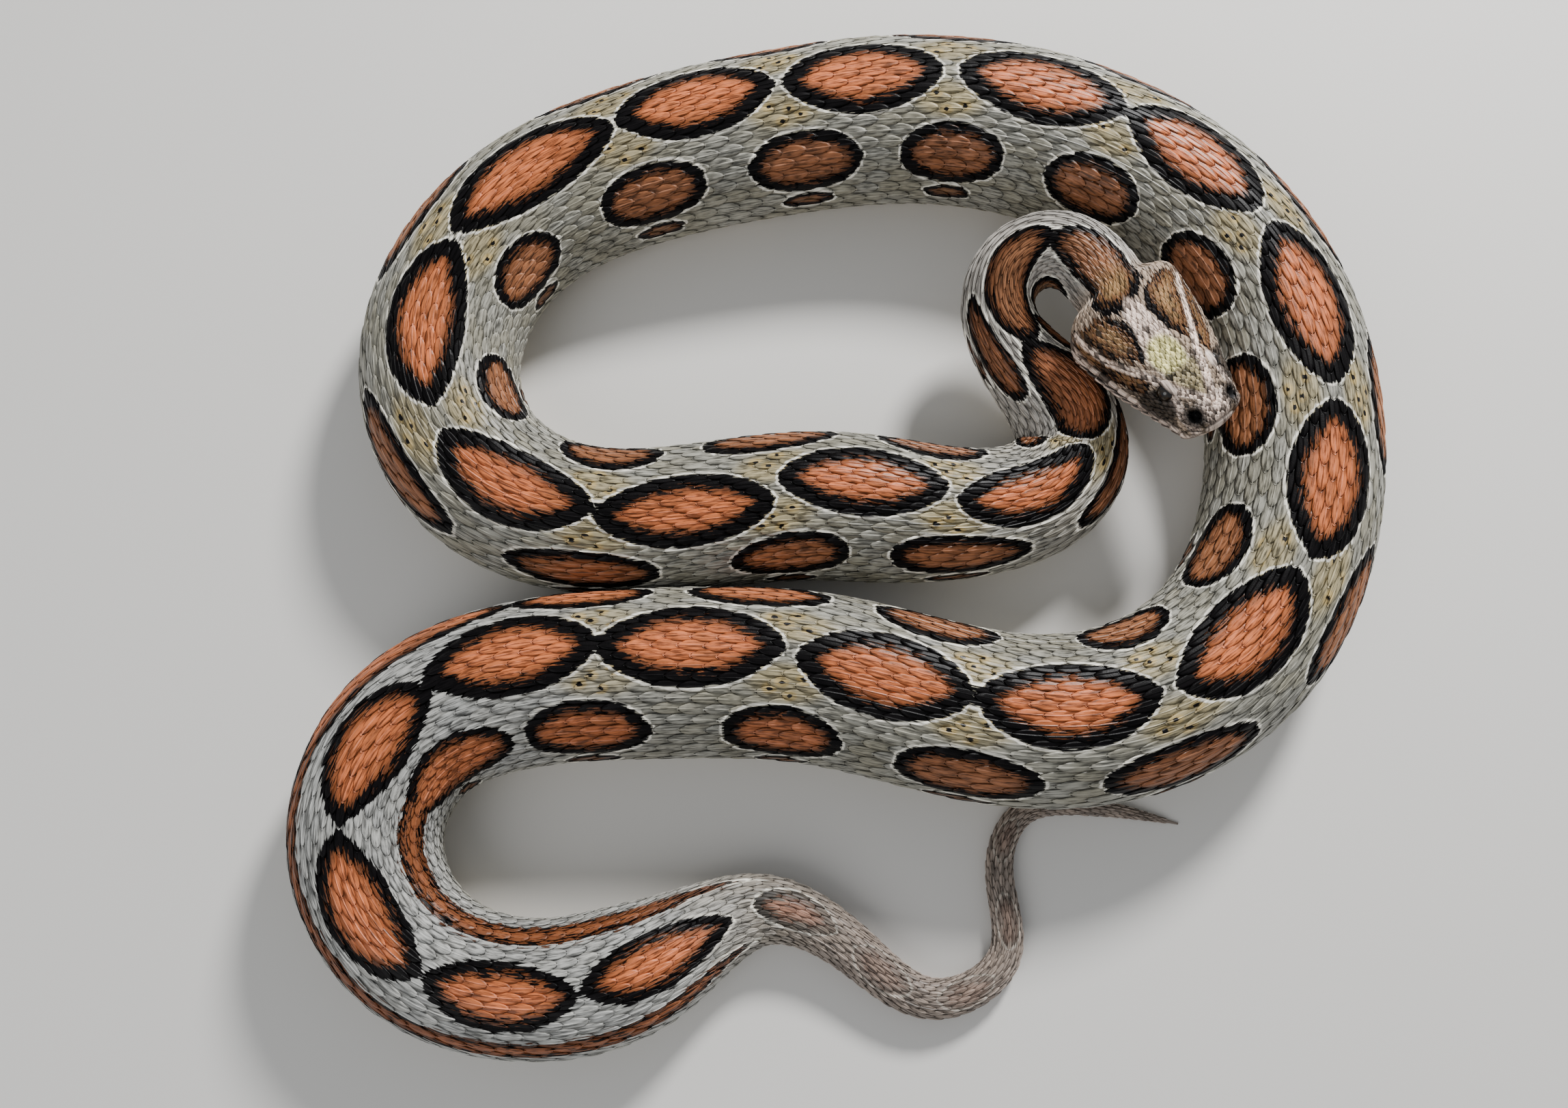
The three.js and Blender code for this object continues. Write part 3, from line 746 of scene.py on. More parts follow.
def viper_material(name, look, roughness, scaled):
    """Satin keratin scales over skin, with the animal's markings read from the colour fields.

    Keratin is dense and slightly waxy, so the scales have soft, narrow highlights, and thin
    streaks under the surface give each one the look of a fibrous blade. Scaled pieces also get
    painted highlights along their keels and painted shade between and under their scales.
    """
    material, add = new_material(name)
    mark, tint, zone, pit, plate, lay = (
        add("split", add("ShaderNodeAttribute", out="Vector", attribute_name=key))
        for key in ("mark", "tint", "zone", "pit", "plate", "lay"))
    distance, ring, brown = mark
    olive, pale, black = tint
    head, down, reach = zone
    pit_along, pit_across, pit_near = pit
    along, across, tone = plate
    outward, along_mm, across_mm = lay
    place = add("ShaderNodeTexCoord", out="Object")
    coarse = add("noise", place, 70.0, 2.0)  # drifts of colour about 14 mm long
    grain = add("noise", place, 2600.0, 2.0)  # fine grain of about 0.4 mm
    # Fine streaks that run along the scales, about 4 mm long and 0.5 mm wide.
    lie = add("ShaderNodeCombineXYZ", add("times", along_mm, 0.25), add("times", across_mm, 2.0),
              tone)
    streak = add("noise", lie, 1.0, 3.0)
    off_centre = add("sum", streak, -0.5)
    off_head = add("ramp", head, 0.8, 0.3)

    # Ground colour, from grey to olive, one scale a little different from the next.
    wander = add("sum", coarse, add("times", tone, 0.5))
    towards_tail = add("times", reach, 0.8)
    ground = add("mix", add("ramp", wander, 0.45, 1.05), look.ground_grey, look.ground_olive)
    for share, colour in ((add("times", reach, -0.8), look.neck_grey), (head, look.head_tan),
                          (add("ramp", down, 0.56, 0.76), look.belly_cream),
                          (towards_tail, look.tail_brown), (pale, look.rear_grey),
                          (olive, look.patch_olive)):
        ground = add("mix", share, ground, colour)
    # Small black pits with a tan halo.
    to_pit = add("sum", add("times", pit_along, pit_along),
                 add("times", add("times", pit_across, pit_across), 2.2))
    to_pit = add("sum", to_pit, add("times", off_centre, 2.5))
    by_pit = add("times", add("ramp", pit_near, 2.0, 1.0), off_head)
    halo = add("times", add("times", by_pit, add("ramp", to_pit, 6.0, 1.5)), 0.7)
    ground = add("mix", halo, ground, look.pit_halo)
    ground = add("mix", add("times", by_pit, add("ramp", to_pit, 0.75, 0.45)), ground,
                 look.ring_black)

    # Markings: brown or orange inside, then a black ring with streaks across its inner edge.
    blur = add("times", add("sum", add("ramp", streak, 0.3, 0.7), -0.5), 4.6)
    true_distance = add("sum", distance, add("times", outward, 0.75))
    inner = add("sum", add("sum", true_distance, ring), blur)
    in_black = add("ramp", add("sum", distance, add("times", blur, 0.2)), 0.12, -0.12)
    oval = add("mix", brown, look.oval_orange, look.oval_brown)
    oval = add("mix", head, oval, look.head_brown)
    patchy = add("most", add("times", add("ramp", inner, -5.0, 0.3), 0.9),
                 add("ramp", wander, 0.5, 1.5))
    oval = add("mix", patchy, oval, look.oval_dark)
    oval = add("mix", towards_tail, oval, look.tail_brown)
    faint = add("ramp", reach, 1.4, 0.2)  # the rings pale along the tail
    skin = add("mix", add("times", in_black, faint), ground, look.ring_black)
    skin = add("mix", add("ramp", inner, 0.4, -0.4), skin, oval)
    skin = add("mix", add("times", pale, head), skin,
               add("mix", olive, look.pale_pink, look.crown_lime))
    skin = add("mix", black, skin, look.ring_black)

    if scaled:
        # Each scale gets a painted highlight along its keel line, and a paler tip that is partly
        # its own pale free margin and partly painted highlight.
        # Painted shade darkens its sides, where it meets its neighbours, and its root, just behind
        # the tip of the scale over it; thin dark fibre streaks are its own colour.
        side = add("without_sign", across)
        tip = add("ramp", add("sum", along, add("times", streak, 0.06)), 0.9, 0.985)
        keel = add("times", add("ramp", side, 0.2, 0.02), add("ramp", streak, 0.35, 0.65))
        # Painted highlight: the keel line and the tip are mixed towards a lighter, paler copy of
        # the colour.
        keel_highlight_and_pale_tip = add("times", add("most", keel, add("times", tip, 0.6)), 0.45)
        # A darker copy of the colour, for the painted shade and the dark fibre streaks.
        dark = add("brighten", skin, 0.3)
        skin = add("mix", keel_highlight_and_pale_tip, skin, add("brighten", skin, 1.6, 0.85))
        # Painted shade in the gaps: the sides of each scale darken where its neighbours meet it.
        painted_gap_shade = add("times", add("ramp", add("sum", side, add("times", head, 0.2)), 0.8, 0.97),
                   add("sum", add("times", head, 0.55), 0.4))
        # Painted shadow: each scale darkens at its root, just behind the tip of the scale over it.
        root = add("times", add("ramp", along, 0.42, 0.3),
                   add("sum", add("times", head, 0.45), 0.3))
        fibre = add("times", add("ramp", streak, 0.47, 0.37), 0.6)
        skin = add("mix", add("most", add("most", painted_gap_shade, root), fibre), skin, dark)
        # A thin cream line lies along the outside of each black ring.
        uneven = add("sum", distance, add("times", off_centre, 1.4))
        line = add("ramp", streak, 0.1, 0.5)
        for share in (add("ramp", distance, 0.0, 0.12), add("ramp", uneven, 0.7, 0.5), off_head,
                      faint, add("ramp", pale, 0.45, 0.1)):
            line = add("times", line, share)
        skin = add("mix", line, skin, look.edge_cream)
        shade = add("sum", add("times", tone, 0.35),
                    add("times", add("ramp", streak, 0.34, 0.66), 0.8))
        skin = add("brighten", skin, add("sum", shade, 0.5))
    bump = add("ShaderNodeBump", {"Strength": 0.35, "Distance": 0.08 * MM, "Height": grain})
    # The black rings are less shiny than the rest.
    glossy = add("sum", add("times", add("times", in_black, add("ramp", inner, -0.4, 0.4)), -0.12),
                 0.21)
    shader = add("ShaderNodeBsdfPrincipled",
                 {"Base Color": skin, "Roughness": roughness, "IOR": 1.55,
                  "Specular IOR Level": glossy, "Normal": bump})
    add("ShaderNodeOutputMaterial", shader)
    return material


def eye_material(look):
    """Wet spectacle over an iris with a slit pupil: dark, with one sharp glint. The iris is painted
    near black as painted shade, the look of a gold-brown iris lying in shade.
    """
    material, add = new_material("wet_eye_spectacle")
    forward, fore, upward = add(
        "split", add("ShaderNodeAttribute", out="Vector", attribute_name="gaze"))
    streaks = add("noise", add("ShaderNodeTexCoord", out="Object"), 1800.0)
    wide = add("times", fore, 3.2)
    tall = add("times", upward, 1.15)
    slit = add("sum", add("times", wide, wide), add("times", tall, tall))
    # Painted shade: both iris colours are near black.
    iris = add("mix", streaks, look.shaded_iris_flecks, look.shaded_iris_depth)
    dark_rim, pupil_black = (0.004, 0.003, 0.003, 1), (0.002, 0.002, 0.002, 1)
    rim = add("ramp", forward, 0.7, 0.55, interpolation_type="LINEAR")
    iris = add("mix", rim, iris, dark_rim)
    pupil = add("ramp", slit, 0.75, 0.6, interpolation_type="LINEAR")
    base = add("mix", pupil, iris, pupil_black)
    shader = add("ShaderNodeBsdfPrincipled", {
        "Base Color": base, "Roughness": 0.3, "IOR": 1.376, "Coat Weight": 1.0,
        "Coat Roughness": 0.03})
    add("ShaderNodeOutputMaterial", shader)
    return material


def matt_paint(name, hex_colour):
    """Matt paint, which spreads the light evenly and shows no glints."""
    material, add = new_material(name)
    add("ShaderNodeOutputMaterial", add("ShaderNodeBsdfPrincipled", {
        "Base Color": (*srgb(hex_colour), 1), "Roughness": 0.9}))
    return material


# ---- settings ------------------------------------------------------------------------------

def colour_property(name, hex_code, description):
    """A colour setting, with its default written as sRGB hex."""
    return bpy.props.FloatVectorProperty(name=name, description=description, subtype="COLOR",
                                         default=srgb(hex_code), min=0, max=1, size=3)


class ViperLook(bpy.types.PropertyGroup):
    """Colours of the viper's scales and eyes."""
    ground_grey: colour_property("Ground grey", "#96948a", "Grey scales between the ovals")
    ground_olive: colour_property("Ground olive", "#807c6d", "Olive scales between the ovals")
    oval_orange: colour_property("Oval orange", "#d17344", "Inside of the ovals on the back")
    oval_brown: colour_property("Oval brown", "#7a5a40", "Inside of the ovals on the flanks")
    oval_dark: colour_property("Oval dark", "#6e4226", "Darker scales inside the ovals")
    ring_black: colour_property("Ring black", "#0b090a", "Rings round the ovals")
    edge_cream: colour_property("Edge cream", "#e9e4d6", "Thin line outside the rings")
    patch_olive: colour_property("Patch olive", "#9a8d69", "Patches between the back ovals")
    rear_grey: colour_property("Rear grey", "#b4b5b6", "Scales between the ovals near the tail")
    pit_halo: colour_property("Pit halo", "#ad955f", "Tan round the small black pits")
    neck_grey: colour_property("Neck grey", "#a39d96", "Pinkish grey flanks of the neck")
    head_tan: colour_property("Head tan", "#a8937f", "Ground colour of the head")
    head_brown: colour_property("Head brown", "#ab8759", "Patches on the crown")
    pale_pink: colour_property("Pale pink", "#fbdfcb", "Lines and lips of the head")
    crown_lime: colour_property("Crown lime", "#fcf1a2", "Spot on the crown")
    belly_cream: colour_property("Belly cream", "#c4bba6", "Belly plates and lowest scales")
    tail_brown: colour_property("Tail brown", "#8c7c72", "Ground colour of the tail")
    # Painted shade: the iris colours are near black, as a gold-brown iris looks in shade.
    shaded_iris_flecks: colour_property("Shaded iris flecks", "#3a2b17", "Flecks of the iris")
    shaded_iris_depth: colour_property("Shaded iris depth", "#100b07", "Depth of the iris")


class ViperScales(bpy.types.PropertyGroup):
    """Sizes of the viper's scales."""
    depth: bpy.props.FloatProperty(
        name="Scale depth", description="How far the skin lies under the tips of the scales",
        default=0.5 * MM, min=0.1 * MM, max=1.0 * MM, unit="LENGTH")
    keel: bpy.props.FloatProperty(
        name="Keel height", description="How far the keel stands up along a scale of the back",
        default=0.14 * MM, min=0.0, max=0.4 * MM, unit="LENGTH")
    overlap: bpy.props.FloatProperty(
        name="Overlap", description="Length of a scale over the spacing of the scales in its row",
        default=1.42, min=1.1, max=1.8)
    seed: bpy.props.IntProperty(
        name="Seed", description="Starts the random differences between scales", default=29)


class ViperStage(bpy.types.PropertyGroup):
    """Light of the stage."""
    key_power: bpy.props.FloatProperty(
        name="Key light", description="Power of the soft light from behind on the right",
        default=17.0, min=0.0, unit="POWER")
    fill_power: bpy.props.FloatProperty(
        name="Fill light", description="Power of the soft light from the viewer's side",
        default=3.4, min=0.0, unit="POWER")


# ---- pieces --------------------------------------------------------------------------------

FLESH = ["head", "lower_jaw", "neck_1", "neck_2", "neck_3", "neck_4",
         *(f"trunk_{i}" for i in range(1, 14)), "tail_1", "tail_2", "tail_3", "tail_tip"]
SKIN_COLUMNS = 96  # points round the skin of the body, and half of those round the head
BELLY_START = 0.70  # girth share where the belly plates begin
BELLY_PLATES, TAIL_PAIRS = 165, 48


def skin_depth(scene, p):
    """How far in mm the skin lies under the scale tips, less where the tail is thin."""
    return np.minimum(scene.viper_scales.depth / MM, 0.35 * width_at(p) / 2)


def row_place(j, rows_half):
    """Girth share of a row of scales, wider apart low on the flank."""
    x = np.abs(j) / (rows_half + 0.5)
    return np.sign(j) * BELLY_START * x * (0.78 + 0.22 * x ** 3.6)


# Spacing of the scales along a row at distances behind the head.
PITCHES = [(-8, 3.6), (0, 4.0), (60, 5.2), (110, 5.8), (200, 6.4), (450, 7.3), (700, 7.2),
           (900, 6.3), (1000, 5.8), (1045, 5.2), (1060, 4.2), (1150, 3.2), (1230, 2.4)]
pitch_places, pitch_values = (np.array(values, float) for values in zip(*PITCHES))
count_places = np.arange(-8, BODY_LENGTH, 1.0)
scale_counts = np.cumsum(1 / np.interp(count_places, pitch_places, pitch_values))

# Rows on each side of the spine from one distance to the next.
ROW_ZONES = [(-4, 960, 14), (960, 1042, 11), (1042, 1100, 8), (1100, 1150, 6), (1150, 1190, 4),
             (1190, 1212, 3)]


def back_scale_roots():
    """Roots, pitches and half widths of the scales of the back and flanks."""
    found = []
    for low, high, rows_half in ROW_ZONES:
        first = int(np.ceil(np.interp(low, count_places, scale_counts)))
        last = int(np.interp(high, count_places, scale_counts))
        for j in range(-rows_half, rows_half + 1):
            steps = np.arange(first, last + 1) + 0.5 * (j % 2)
            p = np.interp(steps, scale_counts, count_places)
            g = row_place(j, rows_half)
            spacing = (row_place(abs(j) + 0.5, rows_half) - row_place(abs(j) - 0.5, rows_half)
                       if j else 2 * row_place(0.5, rows_half))
            found.append(np.stack([p, np.full(p.shape, g), np.full(p.shape, spacing / 2)], -1))
    return np.concatenate(found)


class VIPER_OT_skin(bpy.types.Operator):
    """Makes the closed skin under the scales, in place of the solids of flesh"""
    bl_idname = "viper.skin"
    bl_label = "Skin"

    def execute(self, context):
        scene = context.scene
        narrow, wide = SKIN_COLUMNS, 2 * SKIN_COLUMNS
        body_p = np.arange(BODY_LENGTH - 1.2, 0, -3.0)
        shares, head_shares = (np.arange(count) / count * 2 - 1 for count in (narrow, wide))
        body = surface(body_p[:, None], shares, -skin_depth(scene, body_p)[:, None])
        head_x = np.linspace(0.4, HEAD_LENGTH - 0.5, 118)
        head = surface(-head_x[:, None], head_shares, -scene.viper_scales.depth / MM)
        snout = head[-1]
        middle = snout.mean(0)
        caps = [middle + (snout - middle) * share + HEAD_AXIS * ahead
                for share, ahead in ((0.8, 0.25), (0.45, 0.4))]
        head = np.concatenate([head, np.array(caps)])
        head_p = -np.concatenate([head_x, [HEAD_LENGTH - 0.3, HEAD_LENGTH - 0.1]])
        poles = [body[0].mean(0), middle + HEAD_AXIS * 0.45]
        points = np.concatenate([body.reshape(-1, 3), head.reshape(-1, 3), poles])

        # The head's first ring has two points for each one of the neck's last ring.
        first = len(body_p) * narrow
        last = first + (len(head_p) - 1) * wide
        join = [(first - narrow + i, first + 2 * i, first + 2 * i + 1, first + (2 * i + 2) % wide,
                 first - narrow + (i + 1) % narrow) for i in range(narrow)]
        faces = (ring_quads(0, len(body_p), narrow) + join + ring_quads(first, len(head_p), wide)
                 + fan(len(points) - 2, 0, narrow) + flipped(fan(len(points) - 1, last, wide)))
        p = np.concatenate([np.repeat(body_p, narrow), np.repeat(head_p, wide),
                            [BODY_LENGTH - 1, -HEAD_LENGTH]])
        g = np.concatenate([np.tile(shares, len(body_p)), np.tile(head_shares, len(head_p)),
                            [0, 0]])
        zero = np.zeros(p.shape)
        extras = fields(p, g)
        extras.update(plate=np.stack([zero, zero, zero + 0.3], -1),
                      lay=np.stack([zero, p, g * half_girth(p)], -1))
        material = viper_material("soft_skin_between_scales", scene.viper_look, 0.6, False)
        piece = new_piece("skin", points, corners_of(faces), material, extras)
        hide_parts(*FLESH)
        return {"FINISHED"}


class VIPER_OT_back_scales(bpy.types.Operator):
    """Makes the keeled scales of the back and flanks, in rows from the neck to the tail tip"""
    bl_idname = "viper.back_scales"
    bl_label = "Back scales"

    def execute(self, context):
        scene = context.scene
        sizes = scene.viper_scales
        material = viper_material("satin_keeled_scales", scene.viper_look, 0.37, True)
        roots = back_scale_roots()
        roots = roots[np.argsort(roots[:, 0], kind="stable")]
        rng = np.random.default_rng(sizes.seed)
        for index, part in enumerate(np.array_split(roots, 4)):
            p, g, half = part.T
            pitch = np.interp(p, pitch_places, pitch_values)
            g = g + back_offset(p, g)
            thin = skin_depth(scene, p)
            share = thin / (sizes.depth / MM)
            keel = np.where(np.abs(g) > 0.64, 0.03, sizes.keel / MM)  # the low rows are smooth
            add_plates(f"back_scales_{index + 1}", material, rng, p, g,
                       sizes.overlap * pitch, half * 1.26, height=-0.1 * share,
                       sink=thin + 0.05, keel=keel * share, tip=0.2, own_share=(0.85, 0.7),
                       halves=0.15)
        return {"FINISHED"}


class VIPER_OT_belly_plates(bpy.types.Operator):
    """Makes the wide plates of the belly and the paired ones under the tail"""
    bl_idname = "viper.belly_plates"
    bl_label = "Belly plates"

    def execute(self, context):
        scene = context.scene
        material = viper_material("smooth_belly_plates", scene.viper_look, 0.3, True)
        rng = np.random.default_rng(scene.viper_scales.seed + 1)
        p = np.linspace(2, VENT - 4, BELLY_PLATES)
        add_plates("belly_plates", material, rng, p, 1.0, 1.35 * (p[1] - p[0]),
                   1 - BELLY_START + 0.015, height=-0.08,
                   sink=scene.viper_scales.depth / MM + 0.02, tip=0.12,
                   us=np.array([0, 0.3, 0.6, 0.85, 1.0]), vs=np.linspace(-1, 1, 15), square=0.8)
        p = np.linspace(VENT + 2, BODY_LENGTH - 8, TAIL_PAIRS)
        pair_p, pair_g = np.repeat(p, 2), np.tile([0.845, -0.845], TAIL_PAIRS)
        thin = skin_depth(scene, pair_p)
        add_plates("tail_plates", material, rng, pair_p, pair_g,
                   1.45 * (p[1] - p[0]), 0.17, height=-0.1 * thin, sink=thin + 0.02, tip=0.25)
        return {"FINISHED"}


# Spacing of the small head scales along and across, at distances ahead of the neck.
HEAD_SPACING = [(0, 3.0, 1.4), (12, 2.6, 1.55), (25, 2.3, 1.6), (34, 1.8, 1.45), (46, 1.5, 1.3)]
FIRST_RING, LAST_RING = -2.0, 47.6  # the rings of small scales, by distance ahead
EYE_CLEARANCE = 2.9  # the small scales keep this far from the eye's middle
LIP_PLATES = [(11, 1.55), (12, -1.55)]  # how many on each side, and height over the mouth line
LIP_FRONT, LIP_BACK = 47, 15.5
ROSTRAL_HALF_WIDTH, ROSTRAL_HALF_HEIGHT, ROSTRAL_MIDDLE = 5.3, 2.6, 9.5
ROSTRAL_FRONT, ROSTRAL_DEPTH = 47.9, 1.9
ROSTRAL_RINGS, ROSTRAL_SPOKES = 7, 28
BROW_LENGTH, BROW_HALF_WIDTH = 6.1, 1.1
BROW_ROWS, BROW_COLUMNS = 11, 7


def new_shield(name, sides, faces, material, p, g, across, lie, patch):
    """A large pale plate of the head, from its two sides and values at the points of one.

    across is 0 on its middle line, lie is a point's place in mm, and patch that in the UV map.
    """
    stack = lambda *parts: np.stack(np.broadcast_arrays(*parts, p)[:-1], -1)
    extras = fields(p, g)
    extras.update(tint=stack(0, 0.5, 0), plate=stack(0.6, across, 0.4), lay=stack(0, *lie),
                  OFBake=patch)
    extras = {key: np.tile(values, (2, 1)) for key, values in extras.items()}
    return new_piece(name, np.concatenate(sides), corners_of(faces), material, extras)


class VIPER_OT_head_scales(bpy.types.Operator):
    """Makes the small scales of the head, the lip plates, the brows and the snout's shield"""
    bl_idname = "viper.head_scales"
    bl_label = "Head scales"

    def execute(self, context):
        scene = context.scene
        rng = np.random.default_rng(scene.viper_scales.seed + 2)
        material = viper_material("satin_head_scales", scene.viper_look, 0.4, True)
        sink = scene.viper_scales.depth / MM + 0.03  # the plates reach just under the skin
        self.small_scales(material, rng, sink)
        self.lips(material, rng, sink)
        self.brows(material)
        self.rostral(material)
        return {"FINISHED"}

    def small_scales(self, material, rng, sink):
        """Small keeled scales in uneven rings round the head, up to the snout."""
        places, *spacings = zip(*HEAD_SPACING)
        rings = []
        ahead = FIRST_RING
        while ahead < LAST_RING:
            along, wide = (np.interp(ahead, places, values) for values in spacings)
            step = wide / half_girth(-ahead)
            steps = np.arange(-int(1 / step), int(1 / step) + 1) + 0.5 * (len(rings) % 2)
            shares = (steps * step)[np.abs(steps * step) < 0.98]
            count = len(shares)
            rings.append([-ahead - along * 0.2 + rng.normal(0, 0.22, count),
                          shares + rng.normal(0, 0.08, count) * step,
                          along * rng.uniform(1.2, 1.45, count),
                          step * rng.uniform(0.53, 0.62, count)])
            ahead += along / 2
        scales = np.concatenate(rings, axis=1)
        p, g, length, half = scales
        x = -p - 0.5 * length
        height, left = (table_value(table, x, g) for table in (head_heights, head_lefts))
        by_lips = (np.abs(height - mouth_height(x)) < 2.5) & (x > 13)
        keep = ((to_eye(x, height, left) > EYE_CLEARANCE)
                & (to_nostril(x, g) > NOSTRIL_RADIUS + 0.1) & ~by_lips)
        p, g, length, half = scales[:, keep]
        x = x[keep]
        # Some scales are nearly black: many on the cheeks and by the snout, few on the crown.
        likely = 0.05 + 0.22 * smooth((x - 28) / 5) + 0.2 * smooth((np.abs(g) - 0.3) / 0.08)
        spots = 0.75 * (rng.random(len(p)) < likely * smooth((x - 3) / 5))
        add_plates("small_head_scales", material, rng, p, g, length, half,
                   height=-0.12, sink=sink, keel=0.07 * smooth((34 + p) / 12), tip=0.42,
                   own_share=(0.3, 0.3), spots=spots)

    def lips(self, material, rng, sink):
        """Upper and lower lip plates on each side, along the mouth line."""
        plates = []
        for count, above in LIP_PLATES:
            fronts = np.linspace(LIP_FRONT, LIP_BACK, count)
            step = fronts[0] - fronts[1]
            for front in fronts:
                middle = front - step / 2
                share = side_share(middle, mouth_height(middle) + above)
                plates += [(-front - 0.1 * step, side * share, 1.22 * step,
                            1.4 / half_girth(-middle)) for side in (-1, 1)]
        p, g, length, half = np.array(plates).T
        add_plates("lip_plates", material, rng, p, g, length, half, height=-0.04,
                   sink=sink, own_share=(1.0, 1.0), square=0.75,
                   spots=0.8 * (rng.random(len(p)) < 0.25))

    def rostral(self, material):
        """The shield at the snout's tip, domed forwards."""
        rings, spokes = ROSTRAL_RINGS, ROSTRAL_SPOKES
        share = np.append(np.repeat(np.linspace(0, 1, rings)[1:], spokes), 0)
        angle = np.append(np.tile(np.arange(spokes) / spokes * 2 * math.pi, rings - 1), 0)
        left, up = (half * share * np.sign(wave) * np.abs(wave) ** 0.8
                    for half, wave in ((ROSTRAL_HALF_WIDTH, np.cos(angle)),
                                       (ROSTRAL_HALF_HEIGHT, np.sin(angle))))
        height = ROSTRAL_MIDDLE + up
        ahead = ROSTRAL_FRONT - 0.04 * left ** 2 - 0.08 * up ** 2
        front = in_head_frame(ahead - 0.4 * share ** 4, height, left)
        back = in_head_frame(ahead - ROSTRAL_DEPTH, height, left)
        middle = len(front) - 1
        dome = flipped(fan(middle, 0, spokes) + ring_quads(0, rings - 1, spokes))
        faces = slab(dome, list(range(middle - spokes, middle)), len(front))
        new_shield("rostral_plate", (front, back), faces, material, np.full(len(front), -47.5), 0.0,
                   0.78 * share ** 3, (height, left), 0.5 + 0.0003 * np.stack([left, height], -1))

    def brows(self, material):
        """The large plate over each eye, which stands out over it as a brow."""
        u, v = (grid.ravel() for grid in np.meshgrid(
            np.linspace(0, 1, BROW_ROWS), np.linspace(-1, 1, BROW_COLUMNS), indexing="ij"))
        ahead = EYE_AHEAD + 2.9 - BROW_LENGTH * u
        half = BROW_HALF_WIDTH * np.sqrt(np.maximum(1 - np.abs(2 * u - 1) ** 2.2, 0)) + 0.1
        left = EYE_ASIDE - 1.15 + 0.17 * (EYE_AHEAD - ahead) + half * v
        height = (column(HEAD_OUTLINE, 2)(ahead) - 0.45 - 0.06 * np.maximum(left - 5, 0) ** 2
                  - 0.9 * np.abs(2 * u - 1) ** 4)
        order = np.arange(len(u)).reshape(BROW_ROWS, BROW_COLUMNS)
        edge = [*order[:, 0], *order[-1, 1:], *order[-2::-1, -1], *order[0, -2:0:-1]]
        upper = plate_faces(BROW_ROWS, BROW_COLUMNS)[:(BROW_ROWS - 1) * (BROW_COLUMNS - 1)]
        faces = slab(upper, edge, len(u))
        for name, side in (("brow_plate_right", -1), ("brow_plate_left", 1)):
            sides = (in_head_frame(ahead, height - 0.14 * np.abs(v) ** 6, side * left),
                     in_head_frame(ahead, height - 0.5, side * left))
            g = side * np.interp(left, [0, 13], [0, 0.42])
            new_shield(name, sides, faces if side < 0 else flipped(faces), material, -ahead, g,
                       0.8 * v, (-ahead, g * SNOUT_HALF_GIRTH), 0.3 + 0.003 * np.stack([u, v], -1))


class VIPER_OT_eyes(bpy.types.Operator):
    """Makes both eyes with slit pupils under clear spectacles"""
    bl_idname = "viper.eyes"
    bl_label = "Eyes"

    def execute(self, context):
        material = eye_material(context.scene.viper_look)
        rows, columns = 32, 48
        polar, around = (grid.ravel() for grid in np.meshgrid(
            np.linspace(0, math.pi, rows + 1)[1:-1],
            np.arange(columns) / columns * 2 * math.pi, indexing="ij"))
        ball = np.stack([np.cos(polar), np.sin(polar) * np.cos(around),
                         np.sin(polar) * np.sin(around)], -1)
        ball = np.concatenate([ball, [[1, 0, 0], [-1, 0, 0]]])
        front, back = len(ball) - 2, len(ball) - 1
        faces = (ring_quads(0, rows - 1, columns) + fan(front, 0, columns)
                 + flipped(fan(back, front - columns, columns)))
        for name, side in (("right", -1), ("left", 1)):
            centre = in_head_frame(EYE_AHEAD, EYE_HEIGHT - 0.1, side * (EYE_ASIDE - 0.45))
            aimed_at = in_head_frame(EYE_AHEAD, EYE_HEIGHT + 0.35, side * (EYE_ASIDE + 1))
            out = aimed_at + 0.25 * HEAD_AXIS - centre
            out /= np.linalg.norm(out)
            up = UP - out * out[2]
            up /= np.linalg.norm(up)
            points = centre + EYE_RADIUS * ball @ np.array([out, np.cross(up, out), up])
            piece = new_piece(f"eye_{name}_ball", points, corners_of(faces), material,
                              {"gaze": ball})
            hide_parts(f"eye_{name}")
        return {"FINISHED"}


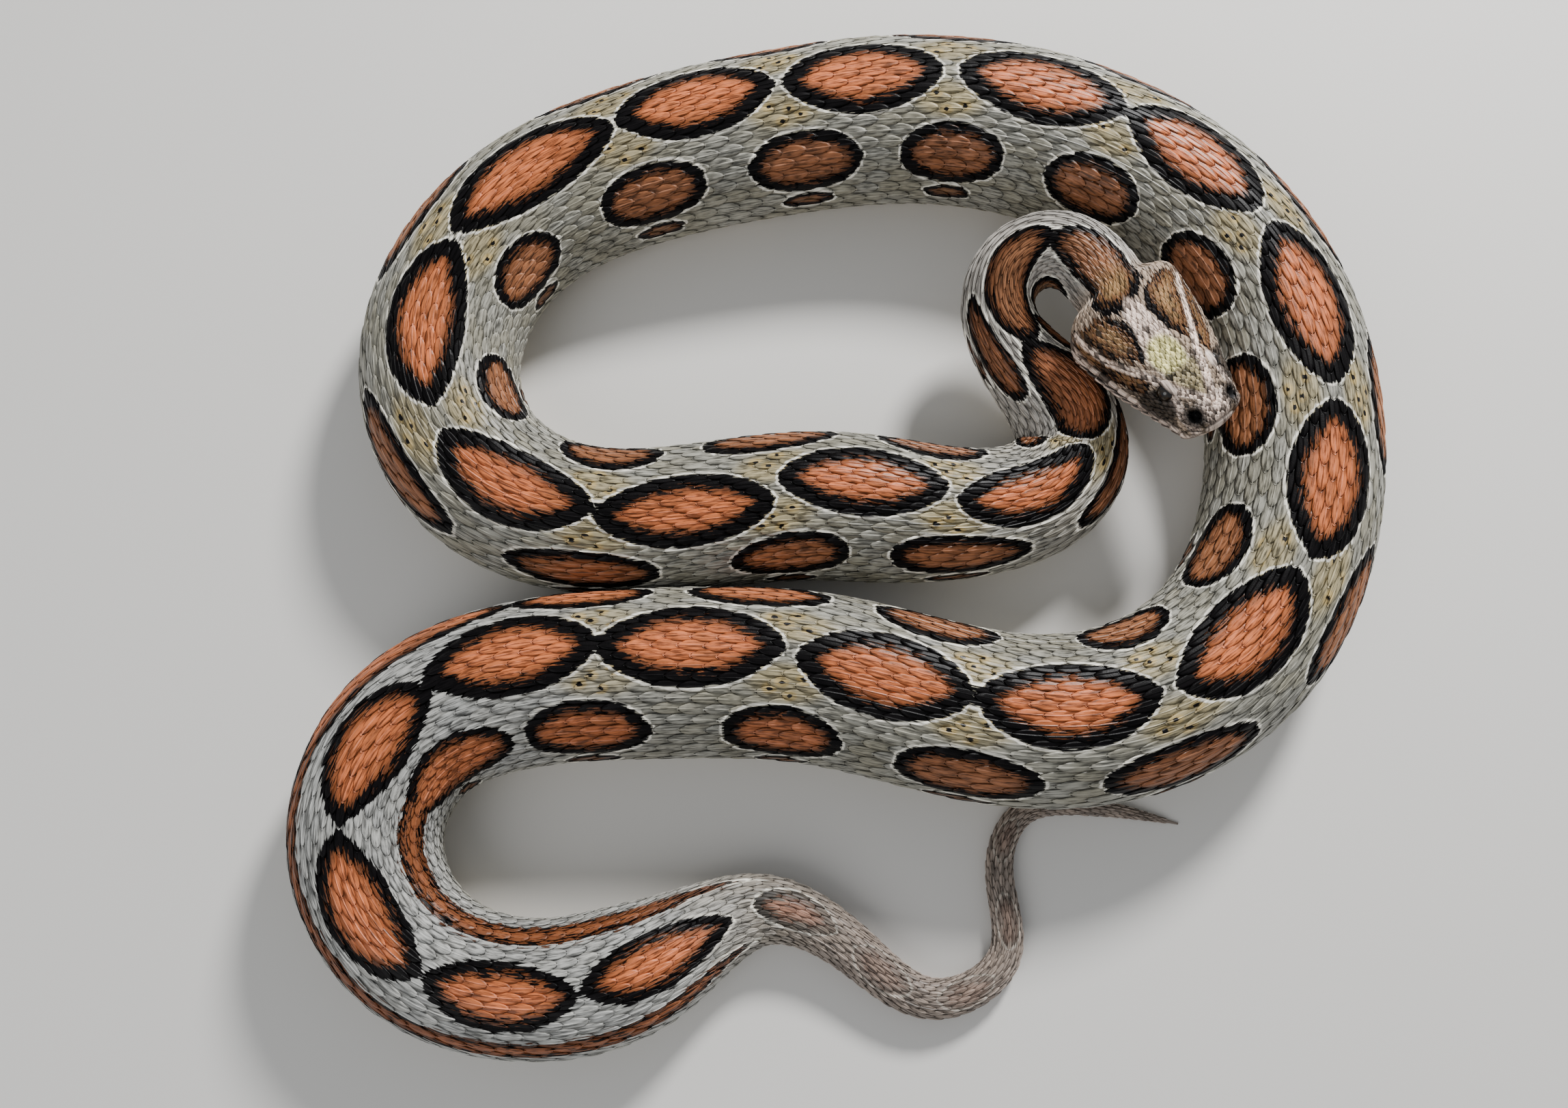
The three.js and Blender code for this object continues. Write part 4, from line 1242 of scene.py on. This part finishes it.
class VIPER_OT_stage(bpy.types.Operator):
    """Sets the pale floor, the soft lights and the camera"""
    bl_idname = "viper.stage"
    bl_label = "Stage"

    def execute(self, context):
        scene = context.scene
        stage = scene.viper_stage
        half, low = 3.0, -0.15 * MM  # in metres, just under the belly
        mesh = bpy.data.meshes.new("floor")
        mesh.from_pydata([(-half, -half, low), (half, -half, low), (half, half, low),
                          (-half, half, low)], [], [(0, 1, 2, 3)])
        mesh.materials.append(matt_paint("matt_pale_floor", "#e6e3de"))
        floor = bpy.data.objects.new("floor", mesh)
        scene.collection.objects.link(floor)

        for name, place, size, power in (("key", (0.4, 0.75, 0.65), 0.22, stage.key_power),
                                         ("fill", (-0.5, -0.7, 0.8), 0.8, stage.fill_power)):
            data = bpy.data.lights.new(name, "AREA")
            data.shape = "DISK"
            data.size = size
            data.energy = power
            place_and_aim(scene, bpy.data.objects.new(name, data), place, (0, 0, 0))
        world = bpy.data.worlds.new("soft_room")
        world.use_nodes = True
        background = world.node_tree.nodes["Background"]
        background.inputs["Color"].default_value = (*srgb("#dfe4ea"), 1)
        background.inputs["Strength"].default_value = 0.42
        scene.world = world

        data = bpy.data.cameras.new("camera")
        data.lens = 30
        data.sensor_width = 36
        camera = bpy.data.objects.new("camera", data)
        place_and_aim(scene, camera, (-19 * MM, -104.6 * MM, 358.1 * MM),
                      (-19 * MM, -14 * MM, 20 * MM))
        scene.camera = camera
        return {"FINISHED"}


def place_and_aim(scene, item, place, target):
    """Puts a light or camera in place and turns it towards a target."""
    item.location = place
    item.rotation_euler = (Vector(target) - Vector(place)).to_track_quat("-Z", "Y").to_euler()
    scene.collection.objects.link(item)


class VIPER_PT_panel(bpy.types.Panel):
    """Shows the viper's settings and the buttons of its steps in the sidebar"""
    bl_idname = "VIPER_PT_panel"
    bl_label = "Viper"
    bl_space_type = "VIEW_3D"
    bl_region_type = "UI"
    bl_category = "Viper"

    def draw(self, context):
        layout = self.layout
        for group in (context.scene.viper_scales, context.scene.viper_look,
                      context.scene.viper_stage):
            for key in group.__annotations__:
                layout.prop(group, key)
        for step in STEPS:
            layout.operator(step.bl_idname)


GROUPS = {"viper_look": ViperLook, "viper_scales": ViperScales, "viper_stage": ViperStage}
STEPS = [VIPER_OT_skin, VIPER_OT_back_scales, VIPER_OT_belly_plates, VIPER_OT_head_scales,
         VIPER_OT_eyes, VIPER_OT_stage]
CLASSES = [*GROUPS.values(), *STEPS, VIPER_PT_panel]


def register():
    for item in CLASSES:
        bpy.utils.register_class(item)
    for key, group in GROUPS.items():
        setattr(bpy.types.Scene, key, bpy.props.PointerProperty(type=group))


def unregister():
    for key in GROUPS:
        delattr(bpy.types.Scene, key)
    for item in reversed(CLASSES):
        bpy.utils.unregister_class(item)


def main():
    register()
    bpy.ops.viper.skin()
    bpy.ops.viper.back_scales()
    bpy.ops.viper.belly_plates()
    bpy.ops.viper.head_scales()
    bpy.ops.viper.eyes()
    bpy.ops.viper.stage()


if __name__ == "__main__":
    main()
